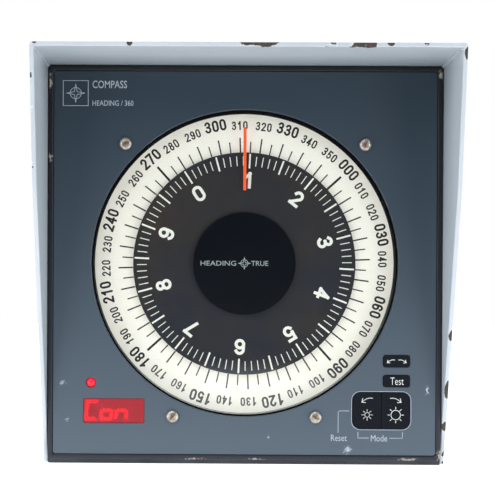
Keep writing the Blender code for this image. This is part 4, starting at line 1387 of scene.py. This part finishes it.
def dress_cad() -> None:
    """Gives every CAD node its slot's finish."""
    for part in frame["record"]["subparts"]:
        data = frame["nodes"][part["node"]].data
        look = Look.TERMINAL if part["node"] == "terminal_block" else SLOT_LOOKS[part["material_slot"]]
        data.materials.clear()
        data.materials.append(look.material())
        LOG.info("%s keeps its shape in %s", part["node"], look.value.name)


@dataclass(frozen=True)
class Softbox:
    """A square soft lamp: its place, the point that it faces and its side in metres, and its watts."""

    name: str
    at: Triple
    aim: Triple
    size: float
    power: float
    colour: str

    def build(self) -> None:
        """Hangs the lamp."""
        light = bpy.data.lights.new(self.name, "AREA")
        light.energy = self.power
        light.size = self.size
        light.color = linear(self.colour)[:3]
        lamp = bpy.data.objects.new(self.name, light)
        lamp.location = self.at
        lamp.rotation_euler = (Vector(self.aim) - Vector(self.at)).to_track_quat("-Z", "Y").to_euler()
        bpy.context.scene.collection.objects.link(lamp)


@dataclass
class Studio:
    """A white floor and backdrop, soft light from all round, and the camera.

    The camera's place is millimetres from the panel's middle, and its turn is degrees.
    """

    eye: Triple = (-13.8, -445.4, -8.0)
    turn: Triple = (89.594, -0.301, 0.308)
    focal_share: float = 912.4 / 500.0
    sensor: float = 36.0
    shift: Point = (0.072, 0.072)
    table_glare: float = 2.2
    lamps: tuple[Softbox, ...] = (
        Softbox("ceiling_softbox", (-0.25, -0.55, 0.95), (0.0, 0.0, 0.12), 0.9, 4.0, "fbfcff"),
        Softbox("left_softbox", (-0.75, -0.62, 0.22), (0.0, -0.05, 0.1), 0.6, 2.5, "f8faff"),
        Softbox("right_softbox", (0.75, -0.62, 0.22), (0.0, -0.05, 0.1), 0.6, 3.0, "f8faff"),
    )
    # Plain white paper, as bright as the backdrop that it runs into.
    paper: Finish = Finish(
        "floor_paper", "fbfbfb", "f8f8f8", 0.9, grain=2.0, grain_depth=0.01, glow="ffffff", glow_strength=0.85
    )

    def build(self) -> None:
        """Builds the floor, the world, the lamps and the camera."""
        self.build_floor()
        self.build_world()
        for lamp in self.lamps:
            lamp.build()
        self.build_camera()
        bpy.context.scene.view_settings.view_transform = "Standard"

    def build_floor(self) -> None:
        """A plain pale floor under the housing."""
        mesh = bmesh.new()
        sheet = Matrix.Translation((0.0, 0.50, 0.0)) @ Matrix.Diagonal((1.2, 0.85, 1.0, 1.0))
        bmesh.ops.create_grid(mesh, x_segments=1, y_segments=1, size=1.0, matrix=sheet)
        data = bpy.data.meshes.new("floor")
        mesh.to_mesh(data)
        mesh.free()
        data.materials.append(self.paper.make())
        floor = bpy.data.objects.new("floor", data)
        bpy.context.scene.collection.objects.link(floor)

    def build_world(self) -> None:
        """White where it is seen, and as a light a softer sky with a bright table before the glass."""
        world = bpy.data.worlds.new("studio")
        bpy.context.scene.world = world
        world.use_nodes = True
        tree = world.node_tree
        aim = add_node(tree, "TexCoord", {}, "Generated")
        ahead, up = (add_node(tree, "SeparateXYZ", {"Vector": aim}, axis) for axis in "YZ")
        dim = {"Value": ahead, "From Min": -0.80, "From Max": -0.96, "To Min": 0.55, "To Max": 0.04}
        strip = {"Value": up, "From Min": -0.088, "From Max": -0.118, "To Max": self.table_glare}
        cone = {"Value": ahead, "From Min": -0.955, "From Max": -0.972}
        level, table, middle = (add_node(tree, "MapRange", span) for span in (dim, strip, cone))
        table = add_node(tree, "Math", {0: table, 1: middle}, operation="MULTIPLY")
        level = add_node(tree, "Math", {0: level, 1: table}, operation="MAXIMUM")
        sky = tree.nodes["Background"]
        sky.inputs["Color"].default_value = linear("eef2f6")
        tree.links.new(level, sky.inputs["Strength"])
        seen = add_node(tree, "LightPath", {}, "Is Camera Ray")
        paper = add_node(tree, "Background", {"Color": linear("ffffff"), "Strength": 1.0})
        both = add_node(tree, "MixShader", {0: seen, 1: sky.outputs[0], 2: paper})
        tree.links.new(both, tree.nodes["World Output"].inputs["Surface"])

    def build_camera(self) -> None:
        """A normal lens a little below the dial's middle and to its left."""
        data = bpy.data.cameras.new("camera")
        data.sensor_width = self.sensor
        data.lens = self.sensor * self.focal_share
        data.shift_x, data.shift_y = self.shift
        data.clip_start = 0.01
        camera = bpy.data.objects.new("camera", data)
        camera.location = datum() + Vector(self.eye) * MM
        camera.rotation_euler = [math.radians(angle) for angle in self.turn]
        bpy.context.scene.collection.objects.link(camera)
        bpy.context.scene.camera = camera


def main() -> None:
    """Builds the studio and every sub-assembly in order."""
    logging.basicConfig(level=logging.INFO, format="%(name)s: %(message)s")
    Studio().build()
    dress_cad()
    for assembly in (Shell(), RearFittings(), Panel(), Dial(), Readout(), Keypad()):
        LOG.info("building %s", type(assembly).__name__)
        assembly.build()


if __name__ == "__main__":
    main()
